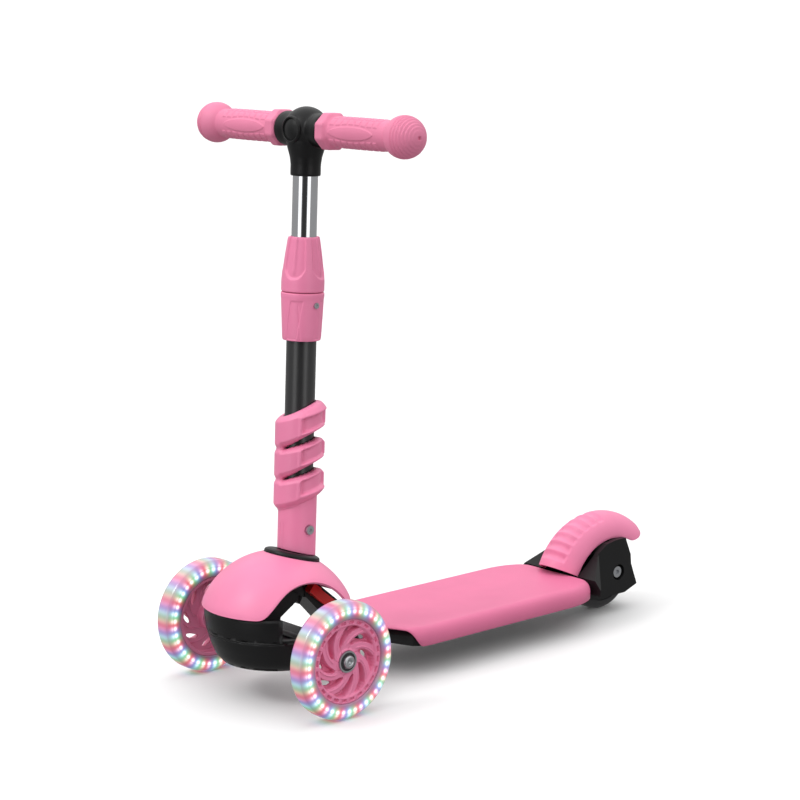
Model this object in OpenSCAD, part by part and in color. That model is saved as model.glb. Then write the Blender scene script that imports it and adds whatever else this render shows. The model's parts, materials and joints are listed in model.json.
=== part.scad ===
// Three-wheeled kick scooter for a small child: two lighted wheels in front,
// one wheel behind, a folding front end, lean steering and a twist-locked bar.
// +X is forward, +Y is the rider's left, +Z is up; the wheels stand on z = 0.

/* [Running gear] */
// Distance from the front axle to the rear axle
wheelbase = 482; // [400:1:580]
// Distance between the mid planes of the front wheels
front_track = 218; // [208:1:250]
// Diameter of a front wheel over its tyre
front_wheel_d = 120; // [110:1:126]
// Width of a front wheel
front_wheel_w = 24; // [22:0.5:30]
// Diameter of the rear wheel over its tyre
rear_wheel_d = 96; // [88:1:100]
// Width of the rear wheel
rear_wheel_w = 24; // [20:0.5:26]
// Number of lights around a front wheel
light_count = 42; // [12:1:48]

/* [Deck] */
// Width of the deck across its skirts
deck_w = 140; // [116:1:168]
// Height of the standing surface
deck_top = 54; // [52:0.5:60]
// Height of the deck from its lower edge to the standing surface
deck_h = 20; // [18:0.5:24]
// Distance from the front axle back to the front edge of the deck
deck_front = 121; // [118:1:140]
// Distance from the rear axle forward to the rear edge of the deck
deck_rear = 62; // [58:1:80]
// Wall of the deck shell
deck_wall = 3; // [2.5:0.1:4]

/* [Front end] */
// Radius of the ball that the front cover is cut from
cover_r = 82.4; // [78:0.2:88]
// Wall of the front cover
cover_wall = 2.8; // [2:0.1:4]
// Height of the lower lip of the front cover
cover_lip = 96; // [92:0.5:98]
// Radius of the wheel arch in each side of the front cover
arch_r = 56; // [50:0.5:58]
// Lean of the steering pin back from upright
kingpin_tilt = 30; // [24:1:32]
// Thickness of the neck
neck_w = 30; // [26:1:34]

/* [Stem] */
// Lean of the stem back from upright
stem_rake = 2.4; // [0:0.1:6]
// Outer diameter of the lower tube
tube_d = 30.5; // [28:0.5:34]
// Wall of the lower tube
tube_wall = 1.55; // [1.4:0.05:2]
// Outer diameter of the sliding tube
slide_d = 25.4; // [22:0.2:26]
// Outer diameter of the stem socket
socket_d = 39.4; // [37:0.2:44]
// Length of the lower tube's top above the stem's base point
tube_rise = 306; // [258:1:370]
// Length of the sliding tube that shows at rest
slide_show = 60.5; // [48:0.5:75]
// How far the handlebar can drop
drop_travel = 55; // [20:1:58]
// How far the handlebar can rise
rise_travel = 75; // [20:1:80]

/* [Handlebar] */
// Distance between the centres of the two grip balls
ball_spread = 292; // [240:1:352]
// Diameter of a grip ball
ball_d = 42; // [36:0.5:46]
// Diameter of a grip
grip_d = 31; // [28:0.5:34]
// Outer diameter of the crossbar tube
bar_d = 22.2; // [19:0.2:24]

/* [Fits] */
// Radial clearance of a turning or sliding shaft
run_gap = 0.05; // [0.02:0.01:0.08]
// Clearance between parts that move past each other
move_gap = 0.4; // [0.3:0.05:0.8]
// Clearance around a fixed fastener or a plugged tube
fix_gap = 0.1; // [0.05:0.01:0.2]

/* [Hidden] */
$fn = 48;
eps = 0.01;

pink = [0.96, 0.45, 0.66];
black = [0.08, 0.08, 0.09];
steel = [0.72, 0.73, 0.75];
milk = [1, 0.82, 0.9];
rubber = [0.1, 0.1, 0.1];

// Overall length, which sets where the axles lie about the origin
cover_x = -6;
cover_z = 65.3;
lip_r = sqrt(pow(cover_r, 2) - pow(cover_lip - cover_z, 2));
rear_r = rear_wheel_d / 2;
front_r = front_wheel_d / 2;
fender_tube_r = 27;
fender_bend_r = rear_r + 15;
fender_wall = 3;
fender_start = 26;
fender_end = 135;
fender_axis = [2, -rear_r / 2];
fender_crest_r = fender_bend_r + fender_tube_r;
pad_low = 1.5 * rear_r + 5.5;
front_reach = max(front_r, cover_x + lip_r);
rear_reach = fender_crest_r * cos(180 - fender_end) - fender_axis.x;
front_x = (wheelbase + rear_reach - front_reach) / 2;
rear_x = front_x - wheelbase;

// Wheel bearings, in the 608 size
bearing_r = 11;
bearing_bore_r = 4;
bearing_w = 7;
axle_r = bearing_bore_r - run_gap;

// Neck between the fold pin and the steering pin, as [forward, up] from the
// point on the ground under the front axle
fold_pin_r = 4;
knuckle_r = 14;
bush_r = 6;
fold_at = [-(deck_front - 23), deck_top - 4];
kingpin_at = [-30, 110];
boss_r = 15;
boss_half = 10;
neck_end = kingpin_at - 12 * [cos(kingpin_tilt), sin(kingpin_tilt)];
neck_end_r = 9.5;
neck_step = neck_end - fold_at;
neck_angle = atan2(neck_step.y, neck_step.x);
neck_up = [-sin(neck_angle), cos(neck_angle)];
ear_gap = 0.3;
ear_h = 7.2;
ear_r = 13;
pillar_w = 36;

// Latch that runs down the neck
latch_rod_r = 2.5;
latch_off = bush_r + latch_rod_r + 0.8;
latch_angle = neck_angle - 4.4;
latch_at = fold_at + latch_off * neck_up;
latch_tail = 14.2;
latch_rod_l = 66;
latch_sweep_r = norm([latch_tail, latch_off + latch_rod_r]) + 0.6;
latch_spring_l = 12;
slider_out = 4;
slider_pin_r = 2;
slider_pin_at = 50;
latch_travel = 5;

// Stem, in heights along its own axis above the base point
stem_base = [-31, 100];
crown_rise = sqrt(pow(cover_r, 2) - pow(cover_x - stem_base.x, 2)) + cover_z - stem_base.y;
crown_x = stem_base.x - crown_rise * tan(stem_rake);
crown_tilt = asin((cover_x - crown_x) / cover_r);
tube_r = tube_d / 2;
slide_r = slide_d / 2;
socket_r = socket_d / 2;
spigot_low = 22;
spigot_step = 58;
spigot_top = 80;
stem_bolt_at = 69.5;
socket_top = 106;
spiral_low = 97;
spiral_pitch = 29.2;
spiral_r = 26.5;
spiral_turns = 3;
spiral_slope = 16;
lower_collar_l = 48;
collar_low = tube_rise - 43.5;
collar_seam = collar_low + lower_collar_l;
twist_l = 55.2;
twist_low = collar_seam + 0.6;
twist_top = twist_low + twist_l;
collar_screw_at = collar_seam - 11.5;
tee_low = twist_top + slide_show;
bar_at = tee_low + 46.4;
slide_foot = tube_rise - rise_travel - 40;

// Handlebar
bar_r = bar_d / 2;
ball_r = ball_d / 2;
grip_r = grip_d / 2;
tee_half = 31.7;
tee_ball_r = 23.3;
tee_sleeve_r = 17.5;
flange_r = 20;
flange_w = 10;
bar_half = ball_spread / 2 - 6;

// Deck stations, as distances forward of the ground point under the front axle
deck_rear_at = -wheelbase + deck_rear;
deck_low = deck_top - deck_h;
deck_mid = (-deck_front + deck_rear_at) / 2;
frame_low = deck_low;
frame_floor = 3.2;
screw_rows = 4;
screw_y = deck_w / 2 - 22;
screw_r = 1.9;

// Fork and fender pivot, forward of and above the rear axle
fork_in = rear_wheel_w / 2 + 2.5;
fork_inner_w = 5.5;
fork_plate_in = fender_tube_r + 2;
fork_out = fork_plate_in + 6;
fender_pivot = [rear_r + 7, -4];
fender_pin_r = 3;
tongue_top = frame_low - 0.1;
tongue_h = 3.6;

// ---------- helpers ----------

// Moves to the ground point under the front axle
module at_front() {
    translate([front_x, 0, 0]) children();
}

// Moves to the centre of the rear wheel
module at_rear() {
    translate([rear_x, 0, rear_r]) children();
}

// Turns the local Z axis to point to +Y
module across() {
    rotate([-90, 0, 0]) children();
}

// Makes a plate from a side outline drawn as [forward, up], from y = low to y = high
module side_plate(low, high) {
    translate([0, high, 0]) rotate([90, 0, 0]) linear_extrude(height = high - low) children();
}

// Repeats a shape on the left and the right
module both_sides() {
    children();
    mirror([0, 1, 0]) children();
}

// Moves to a point in the side plane and turns the local Z axis to lean back
module leaning(at, tilt) {
    at_front() translate([at.x, 0, at.y]) rotate([0, -tilt, 0]) children();
}

module on_stem() {
    leaning(stem_base, stem_rake) children();
}

module on_kingpin() {
    leaning(kingpin_at, kingpin_tilt) children();
}

module on_crown() {
    leaning([cover_x, cover_z], crown_tilt) children();
}

// Local X runs up the latch, and local Z is square to it
module on_latch() {
    at_front() translate([latch_at.x, 0, latch_at.y]) rotate([0, -latch_angle, 0]) children();
}

// A cylinder along Z from low to high
module post(r, low, high) {
    translate([0, 0, low]) cylinder(r = r, h = high - low);
}

// A tube along Z from low to high
module tube(outer, inner, low, high) {
    difference() {
        post(outer, low, high);
        post(inner, low - 1, high + 1);
    }
}

// A cylinder across the scooter at a point of the side plane
module cross_post(at, r, low, high) {
    translate([at.x, 0, at.y]) across() post(r, low, high);
}

// A point of the side plane from the steering pin's own frame
function kp(x, z) = kingpin_at + x * [cos(kingpin_tilt), sin(kingpin_tilt)]
    + z * [-sin(kingpin_tilt), cos(kingpin_tilt)];

// The four points where the outer tangents touch two circles
function tangent_quad(a, ra, b, rb) =
    let (d = b - a, l = norm(d), u = d / l, c = (ra - rb) / l, s = sqrt(1 - c * c),
         n1 = [u.x * c - u.y * s, u.y * c + u.x * s],
         n2 = [u.x * c + u.y * s, u.y * c - u.x * s])
    [a + ra * n1, b + rb * n1, b + rb * n2, a + ra * n2];

// A bar with round ends in the plane
module link(a, ra, b, rb) {
    translate(a) circle(r = ra);
    translate(b) circle(r = rb);
    polygon(tangent_quad(a, ra, b, rb));
}

// A round wire wound about Z, rising at an even rate
module coil(r, wire_r, turns, rise) {
    steps = 14;
    sides = 8;
    rings = ceil(turns * steps);
    points = [for (i = [0 : rings]) for (j = [0 : sides - 1])
        let (a = 360 * turns * i / rings, b = 360 * j / sides, q = r + wire_r * cos(b))
        [q * cos(a), q * sin(a), rise * i / rings + wire_r * sin(b)]];
    walls = [for (i = [0 : rings - 1]) for (j = [0 : sides - 1])
        let (k = (j + 1) % sides)
        [i * sides + j, (i + 1) * sides + j, (i + 1) * sides + k, i * sides + k]];
    low_cap = [[for (j = [0 : sides - 1]) j]];
    high_cap = [[for (j = [sides - 1 : -1 : 0]) rings * sides + j]];
    polyhedron(points = points, faces = concat(walls, low_cap, high_cap), convexity = 8);
}

// ---------- deck ----------

// Plan of the deck as a list of points, drawn in by an inset all round
function deck_plan(inset) =
    let (w = deck_w / 2 - inset, f = -deck_front - inset, b = deck_rear_at + inset)
    [[f, 0.26 * w], [f - 3, 0.42 * w], [f - 16, 0.9 * w], [f - 24, 0.98 * w], [f - 40, w],
     [b + 46, w], [b + 22, 0.93 * w], [b + 6, 0.8 * w], [b, 0.66 * w],
     [b, -0.66 * w], [b + 6, -0.8 * w], [b + 22, -0.93 * w], [b + 46, -w],
     [f - 40, -w], [f - 24, -0.98 * w], [f - 16, -0.9 * w], [f - 3, -0.42 * w], [f, -0.26 * w]];

// The D-edged slab of the deck, less an inset
module deck_slab(inset, low, high) {
    round_h = 12;
    hull() {
        for (t = [0 : 22.5 : 90]) {
            drop = round_h * (1 - sin(t));
            translate([0, 0, high - drop - eps])
                linear_extrude(height = eps) polygon(deck_plan(inset + round_h * (1 - cos(t)) * 0.75));
        }
        translate([0, 0, low]) linear_extrude(height = eps) polygon(deck_plan(inset));
    }
}

// Places of the screws that hold the shell to the frame
module at_deck_screws() {
    span = -deck_front - 45 - (deck_rear_at + 40);
    for (i = [0 : screw_rows - 1], side = [-1, 1]) {
        translate([deck_rear_at + 40 + span * i / (screw_rows - 1), side * screw_y, 0]) children();
    }
}

module deck_shell() {
    color(pink) difference() {
        at_front() union() {
            difference() {
                deck_slab(0, deck_low, deck_top);
                translate([0, 0, -deck_wall]) deck_slab(deck_wall, deck_low - 5, deck_top);
                translate([-deck_front - 16, -deck_w, deck_low - 1])
                    cube([60, 2 * deck_w, deck_h - deck_wall + 1]);
            }
            at_deck_screws() tube(4.5, screw_r, frame_low + frame_floor + 0.1, deck_top - deck_wall + 0.5);
        }
    }
}

// Outline of the wall behind the neck's knuckle, clear of the folded neck
module hinge_wall() {
    back = -deck_front - 14;
    top = deck_top - deck_wall - 0.2;
    difference() {
        polygon([[back, frame_low], [fold_at.x - 2, frame_low], [fold_at.x - 2, fold_at.y - 14],
                 fold_at + [-12.5, -8], fold_at + [-21.5, 0.7], [back, top]]);
        translate(fold_at) circle(r = knuckle_r + move_gap);
    }
}

module deck_frame() {
    top = deck_top - deck_wall - 0.2;
    inset = deck_wall + 1;
    cheek_in = neck_w / 2 + move_gap;
    cheek_out = cheek_in + 10.5;
    color(black) at_front() difference() {
        union() {
            // floor
            translate([0, 0, frame_low]) linear_extrude(height = frame_floor) intersection() {
                polygon(deck_plan(inset));
                translate([deck_rear_at + 16, -deck_w]) square([wheelbase, 2 * deck_w]);
            }
            // ribs that carry the shell
            intersection() {
                union() {
                    for (y = [-0.68, -0.25, 0.25, 0.68]) {
                        translate([deck_rear_at + 18, y * deck_w / 2 - 1.2, frame_low + 1])
                            cube([wheelbase - deck_front - deck_rear - 30, 2.4, top - frame_low - 1]);
                    }
                    for (i = [1 : 5]) {
                        translate([-deck_front - 16 - i * (wheelbase - deck_front - deck_rear - 50) / 5,
                                   -deck_w / 2, frame_low + 1])
                            cube([2.4, deck_w, top - frame_low - 4]);
                    }
                }
                deck_slab(inset + 4, frame_low, top);
            }
            // front wall under the shell's edge
            intersection() {
                deck_slab(inset, frame_low, top);
                translate([-deck_front - 40, -deck_w, frame_low]) cube([60, 2 * deck_w, top - frame_low]);
                difference() {
                    translate([0, 0, frame_low]) linear_extrude(height = deck_h) polygon(deck_plan(inset));
                    translate([0, 0, frame_low - 1]) linear_extrude(height = deck_h + 2)
                        polygon(deck_plan(inset + 3));
                }
            }
            // cheeks of the fold hinge
            both_sides() side_plate(cheek_in, cheek_out) {
                translate(fold_at) circle(r = knuckle_r);
                polygon([fold_at + [0, -knuckle_r], [-deck_front - 14, frame_low],
                         [-deck_front - 14, top], [-deck_front + 0.5, top],
                         fold_at + [-11, knuckle_r - 5], fold_at + [0, knuckle_r]]);
            }
            side_plate(-cheek_out + 1, cheek_out - 1) hinge_wall();
        }
        cross_post(fold_at, fold_pin_r + fix_gap, -cheek_out - 1, cheek_out + 1);
        // slot that the end of the latch rod sweeps through
        cross_post(fold_at, latch_sweep_r, -latch_rod_r - 0.4, latch_rod_r + 0.4);
        at_deck_screws() post(screw_r + 0.2, frame_low - 1, frame_low + frame_floor + 1);
        at_deck_screws() post(5, frame_low + frame_floor, top + 1);
        at_fork_screws() post(screw_r + 0.2, frame_low - 1, frame_low + frame_floor + 1);
    }
}

module deck_screws() {
    color(steel) at_front() at_deck_screws() {
        post(screw_r - 0.05, frame_low, deck_top - deck_wall - 6);
        post(3.6, frame_low - 2.2, frame_low);
    }
}

// Places of the screws that hold the fork under the frame
module at_fork_screws() {
    for (x = [26, 46], side = [-1, 1]) {
        translate([deck_rear_at + x, side * 11, 0]) children();
    }
}

module fork_screws() {
    color(steel) at_front() at_fork_screws() {
        post(screw_r - 0.05, tongue_top - tongue_h, frame_low + frame_floor + 2);
        post(3.6, tongue_top - tongue_h - 2.2, tongue_top - tongue_h);
    }
}

// ---------- fork, rear wheel and fender ----------

// Side outline of the fork's outer plate about the rear axle
module fork_outline() {
    polygon([[48, -20], [36, -26], [-11, -25.5], [-31, -18.5], [-21, 7], [-20, 18], [-11, 39],
             [4, 39], [20, 36.5], [34, 28], [46, 14], [58, 6], [60, -12]]);
}

// Side outline of the fork's inner plate, kept under the fender
module fork_inner_outline() {
    polygon([[52, -24], [36, -26], [-11, -25.5], [-31, -18.5], [-20, 8], [-8, 18], [10, 18],
             [24, 8], [34, -8], [52, -14]]);
}

module rear_fork() {
    deck_edge = deck_rear - 0.4;
    color(black) difference() {
        union() {
            at_rear() both_sides() {
                side_plate(fork_plate_in, fork_out) fork_outline();
                side_plate(fork_in, fork_in + fork_inner_w) fork_inner_outline();
                // floor that joins the plates beside the wheel
                side_plate(fork_in, fork_out) polygon([[52, -24], [36, -26], [-11, -25.5],
                    [-31, -18.5], [-29.5, -15], [-10, -22], [35, -22.5], [52, -20]]);
                across() post(13.5, fork_in, fork_out);
                // shoulder that carries on the deck's end
                hull() {
                    translate([deck_edge - 1, fork_plate_in, deck_low + 1.5 - rear_r])
                        cube([1, 0.40 * deck_w - fork_plate_in, deck_h - 3]);
                    translate([deck_edge - 1, fork_plate_in, deck_low + 1.5 - rear_r])
                        cube([1, 0.46 * deck_w - fork_plate_in, deck_h - 12]);
                    translate([34, fork_plate_in, -22]) cube([1, 5.9, 48]);
                }
            }
            // tongue under the frame and bar across in front of the wheel
            at_front() translate([deck_rear_at - 14, -fork_plate_in - 0.5, tongue_top - 9])
                cube([13.6, 2 * fork_plate_in + 1, 9]);
            at_front() translate([deck_rear_at - 1, -20, tongue_top - tongue_h]) cube([58, 40, tongue_h]);
        }
        at_rear() across() post(bearing_bore_r + fix_gap, -60, 60);
        at_rear() both_sides() across() post(9.2, fork_out - 7, fork_out + 1);
        at_rear() cross_post(fender_pivot, fender_pin_r + fix_gap, -60, 60);
        at_rear() across() post(rear_r + 1.6, -fork_in + eps, fork_in - eps);
        at_front() at_fork_screws() post(screw_r + 0.2, tongue_top - 12, tongue_top + 1);
    }
}

module rear_axle_bolt() {
    color(steel) at_rear() across() {
        post(axle_r, -fork_out + 5, fork_out - 7);
        difference() {
            post(6.5, fork_out - 7, fork_out - 2);
            translate([0, 0, fork_out - 4.5]) cylinder(r = 2.9, h = 4, $fn = 6);
        }
    }
}

module rear_axle_nut() {
    color(steel) at_rear() across() difference() {
        translate([0, 0, -fork_out + 1.5]) cylinder(r = 7.4, h = 5.5, $fn = 6);
        post(axle_r + eps, -fork_out - 1, -fork_out + 8);
    }
}

module rear_axle_spacers() {
    color(steel) at_rear() both_sides() across()
        tube(6.3, axle_r + run_gap, rear_wheel_w / 2 + 0.1, fork_in - 0.1);
}

// Half section of a tyre with rounded shoulders, as [radius, across]
function tyre_section(outer, inner, width, shoulder) = concat(
    [[inner, -width / 2]],
    [for (a = [0 : 10 : 90]) [outer - shoulder + shoulder * sin(a), -width / 2 + shoulder * (1 - cos(a))]],
    [for (a = [90 : -10 : 0]) [outer - shoulder + shoulder * sin(a), width / 2 - shoulder * (1 - cos(a))]],
    [[inner, width / 2]]);

module rear_tyre() {
    color(rubber) at_rear() across() rotate_extrude()
        polygon(tyre_section(rear_r, rear_r - 10, rear_wheel_w, 8));
}

module rear_hub() {
    rim = rear_r - 10;
    color(black) at_rear() across() difference() {
        union() {
            tube(rim, rim - 4, -rear_wheel_w / 2 + 0.5, rear_wheel_w / 2 - 0.5);
            post(rim - 2, -3, 3);
            post(bearing_r + 4, -rear_wheel_w / 2, rear_wheel_w / 2);
        }
        post(bearing_r - 2, -20, 20);
        both_ends() post(bearing_r, rear_wheel_w / 2 - bearing_w, 20);
        for (a = [0 : 60 : 300]) rotate([0, 0, a]) translate([rim - 11, 0, -5]) cylinder(r = 5, h = 10);
    }
}

// Repeats a shape at both ends of the local Z axis
module both_ends() {
    children();
    mirror([0, 0, 1]) children();
}

// A sealed bearing from z = 0 up
module bearing() {
    rotate_extrude() polygon([[bearing_bore_r, 0], [6, 0], [6.2, 0.5], [9.2, 0.5], [9.4, 0],
        [bearing_r, 0], [bearing_r, bearing_w], [9.4, bearing_w], [9.2, bearing_w - 0.5],
        [6.2, bearing_w - 0.5], [6, bearing_w], [bearing_bore_r, bearing_w]]);
}

module rear_bearings() {
    color(steel) at_rear() across() both_ends()
        translate([0, 0, rear_wheel_w / 2 - bearing_w]) bearing();
}

module rear_bearing_spacer() {
    color(steel) at_rear() across()
        tube(6, bearing_bore_r, -rear_wheel_w / 2 + bearing_w + 0.1, rear_wheel_w / 2 - bearing_w - 0.1);
}

module fender() {
    low = fender_tube_r - fender_wall;
    color(pink) at_rear() difference() {
        union() {
            sweep_fender(fender_start, fender_end) polygon(concat(
                [for (a = [-90 : 9 : 90]) fender_tube_r * [cos(a), sin(a)]],
                [for (a = [90 : -9 : -90]) low * [cos(a), sin(a)]]));
            // pad over the tread
            sweep_fender(84, 96) translate([pad_low - fender_bend_r, -9])
                square([fender_bend_r + low - 1 - pad_low, 18]);
            // ears of the hinge
            both_sides() side_plate(low - 0.6, fender_tube_r + 0.5)
                link(fender_pivot, 5.6, fender_axis + (fender_bend_r + 4) * [cos(36), sin(36)], 7);
        }
        cross_post(fender_pivot, fender_pin_r + run_gap, -60, 60);
    }
}

// Sweeps a flat shape along the fender's arc
module sweep_fender(from, to) {
    translate([fender_axis.x, 0, fender_axis.y]) rotate([90, 0, 0]) rotate([0, 0, from])
        rotate_extrude(angle = to - from, $fn = 96) translate([fender_bend_r, 0]) children();
}

module fender_pin() {
    color(steel) at_rear() cross_post(fender_pivot, fender_pin_r, -fork_out + 1, fork_out - 1);
}

module fender_spring() {
    color(steel) at_rear() translate([fender_pivot.x, -7, fender_pivot.y]) across()
        coil(fender_pin_r + 1.3, 0.8, 6, 13);
}

// ---------- neck, fold pin and latch ----------

module fold_pin() {
    half = neck_w / 2 + move_gap + 10.5;
    color(steel) at_front() {
        cross_post(fold_at, fold_pin_r, -half - 1.5, half);
        cross_post(fold_at, fold_pin_r + 3, half, half + 3);
    }
}

module neck() {
    half = neck_w / 2;
    color(black) difference() {
        union() {
            on_kingpin() post(boss_r, -boss_half, boss_half);
            at_front() side_plate(-half, half) link(fold_at, knuckle_r, neck_end, neck_end_r);
        }
        on_kingpin() post(bush_r + 0.02, -boss_half - 1, boss_half + 1);
        on_kingpin() post(boss_r - 1.4, boss_half - 5, boss_half + 1);
        at_front() cross_post(fold_at, bush_r + 0.02, -half - 1, half + 1);
        // channel of the latch rod and slot of its cross pin
        on_latch() rotate([0, 90, 0]) post(latch_rod_r + 0.15, -30, latch_rod_l - latch_tail + latch_spring_l + 1);
        on_latch() translate([slider_pin_at - slider_pin_r - 0.4, 0, -slider_pin_r - 0.4])
            cube([2 * slider_pin_r + latch_travel + 0.8, half + 1, 2 * slider_pin_r + 0.8]);
        // lightening pockets between the side ribs
        for (side = [-1, 1], i = [0 : 2]) {
            at_front() translate([fold_at.x, 0, fold_at.y]) rotate([0, -neck_angle, 0])
                translate([18 + 9.5 * i, side * (half - 2.5) - 3.5, -8.5 + 0.8 * i])
                    cube([7.5, 7, 13 - 1.2 * i]);
        }
    }
}

module fold_bushes() {
    half = neck_w / 2;
    color(steel) at_front() both_sides() difference() {
        cross_post(fold_at, bush_r, half - 9, half);
        cross_post(fold_at, fold_pin_r + run_gap, half - 10, half + 1);
    }
}

module steering_bush() {
    color(steel) on_kingpin() tube(bush_r, axle_r + run_gap, -boss_half, boss_half - 5);
}

module centring_rubber() {
    color(rubber) on_kingpin() tube(boss_r - 1.6, axle_r + 0.8, boss_half - 4.95, boss_half);
}

module latch_rod() {
    color(steel) on_latch() difference() {
        rotate([0, 90, 0]) post(latch_rod_r, -latch_tail, latch_rod_l - latch_tail);
        translate([slider_pin_at, 0, 0]) across() post(slider_pin_r + 0.05, -1, 5);
    }
}

module release_slider() {
    side = neck_w / 2 + move_gap;
    color("red") on_latch() {
        translate([slider_pin_at, 0, 0]) across() post(slider_pin_r, -0.8, side + 1);
        translate([slider_pin_at - 4, side, -8]) cube([42, slider_out, 10.5]);
        translate([slider_pin_at + 26, side, -8]) cube([12, slider_out + 4.5, 10.5]);
    }
}

module latch_spring() {
    color(steel) on_latch() translate([latch_rod_l - latch_tail + 0.7, 0, 0]) rotate([0, 90, 0])
        coil(1.7, 0.5, 7, latch_spring_l - 1.4);
}

// ---------- front carriage ----------

// Half section of the black bowl under the cover, as [radius, up]
bowl = [[0, 62], [58, 61.5], [56, 50], [51, 42], [45, 38], [45, 37], [50, 37], [57, 39],
    [63, 46], [69, 61], [72, 72], [66, 72.5], [40, 67], [0, 67]];
bowl_ribs = [[0, 38.4], [45.5, 38.4], [51.5, 42.3], [57, 50.3], [59.5, 63], [0, 63]];
front_wall = [[67.5, 70], [71.5, 70], [73.5, 84], [74, cover_lip - 0.3], [71, cover_lip - 0.3], [70, 84]];

// Side outline of the pillar and head that hold the steering pin
function head_outline() = [
    [34, 58], [4, 58], [3, 84], kp(4, -boss_half - ear_gap - ear_h), kp(4, -boss_half - ear_gap),
    kp(boss_r + 0.6, -boss_half - ear_gap), kp(boss_r + 0.6, boss_half + ear_gap),
    kp(-boss_r - 2, boss_half + ear_gap), [-66, 122], [-66, 160], [34, 160]];

module front_chassis() {
    stub_end = front_track / 2 - front_wheel_w / 2 - 1;
    color(black) difference() {
        union() {
            at_front() difference() {
                translate([cover_x, 0, 0]) rotate([0, 0, 30]) rotate_extrude($fn = 96) polygon(bowl);
                translate([-128, -100, 30]) cube([100, 200, 60]);
            }
            at_front() intersection() {
                translate([cover_x, 0, 0]) rotate([0, 0, 40]) rotate_extrude($fn = 96) polygon(bowl_ribs);
                translate([-28, -45, 36]) for (y = [14, 43.5, 73]) translate([0, y, 0]) cube([90, 3, 40]);
            }
            at_front() translate([cover_x, 0, 0]) rotate([0, 0, -56])
                rotate_extrude(angle = 112, $fn = 96) polygon(front_wall);
            at_front() cross_post([0, front_r], 10, -stub_end, stub_end);
            intersection() {
                at_front() side_plate(-pillar_w / 2, pillar_w / 2) polygon(head_outline());
                at_front() translate([cover_x, 0, cover_z]) rotate([90, 0, 0])
                    sphere(r = cover_r - cover_wall - 0.3, $fn = 96);
            }
            on_kingpin() post(ear_r, -boss_half - ear_gap - ear_h, -boss_half - ear_gap);
            on_stem() rotate_extrude() polygon([[0, spigot_low + 12], [tube_r - fix_gap, spigot_low + 12],
                [tube_r - fix_gap, spigot_step], [tube_r - tube_wall - fix_gap, spigot_step],
                [tube_r - tube_wall - fix_gap, spigot_top], [0, spigot_top]]);
        }
        on_kingpin() post(bearing_bore_r + fix_gap, -boss_half - 20, boss_half + 17);
        on_kingpin() post(8.7, -boss_half - 28, -boss_half - ear_gap - ear_h);
        at_front() both_sides() cross_post([0, front_r], bearing_bore_r + fix_gap, 56, stub_end + 1);
        on_stem() translate([0, 0, stem_bolt_at]) across() post(2.6, -40, 40);
        at_cover_screws() {
            post(1.8, -20, 20);
            post(3.3, -100, -14);
            post(4.4, -8.1, 20);
        }
    }
}

// Places where screws come up through the head and meet the underside of the cover
module at_cover_screws() {
    up = sqrt(pow(cover_r - cover_wall, 2) - pow(14 - cover_x, 2) - pow(11, 2));
    for (side = [-1, 1]) {
        at_front() translate([14, side * 11, cover_z + up]) children();
    }
}

module cover_screws() {
    color(steel) at_cover_screws() {
        post(1.6, -14, -2.5);
        post(3, -16.2, -14);
    }
}

module front_cover() {
    color(pink) difference() {
        at_front() translate([cover_x, 0, cover_z]) sphere(r = cover_r, $fn = 96);
        difference() {
            at_front() translate([cover_x, 0, cover_z]) sphere(r = cover_r - cover_wall, $fn = 96);
            at_cover_screws() tube(4.1, 1.65, -8, 6);
        }
        at_front() translate([-150, -150, -50]) cube([300, 300, 50 + cover_lip]);
        at_front() both_sides() cross_post([-2, 71], arch_r, 20, 120);
        on_crown() post(29.3, cover_r / 2, cover_r + 20);
    }
}

module kingpin() {
    head = -boss_half - ear_gap - ear_h - 1.2;
    color(steel) on_kingpin() {
        post(axle_r, head, boss_half + 16);
        translate([0, 0, head - 4]) cylinder(r = 7.2, h = 4, $fn = 6);
    }
}

module kingpin_washer() {
    head = -boss_half - ear_gap - ear_h;
    color(steel) on_kingpin() tube(8, axle_r + 0.1, head - 1.2, head);
}

// ---------- stem ----------

module stem_ring() {
    color(black) difference() {
        on_crown() post(29, cover_r - 16, cover_r + 0.8);
        at_front() translate([cover_x, 0, cover_z]) sphere(r = cover_r - cover_wall, $fn = 96);
        on_stem() post(tube_r + 0.2, 0, 80);
    }
}

module stem_socket() {
    color(pink) difference() {
        on_stem() tube(socket_r, tube_r + fix_gap, 20, socket_top);
        on_crown() post(70, 20, cover_r + 1.1);
        on_stem() translate([0, 0, stem_bolt_at]) across() {
            post(2.7, -40, 40);
            post(4.8, socket_r - 0.7, 40);
        }
        on_stem() translate([socket_r - 1, -0.8, 25]) cube([4, 1.6, 52]);
    }
}

module stem_bolt() {
    color(steel) on_stem() translate([0, 0, stem_bolt_at]) across() {
        post(2.5, -socket_r - 4, socket_r);
        difference() {
            post(4.6, socket_r - 0.6, socket_r + 2.2);
            translate([0, 0, socket_r + 0.4]) cylinder(r = 1.8, h = 4, $fn = 6);
        }
    }
}

module stem_nut() {
    color(steel) on_stem() translate([0, 0, stem_bolt_at]) across() difference() {
        translate([0, 0, -socket_r - 4]) cylinder(r = 4.6, h = 3.9, $fn = 6);
        post(2.52, -40, 0);
    }
}

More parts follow.
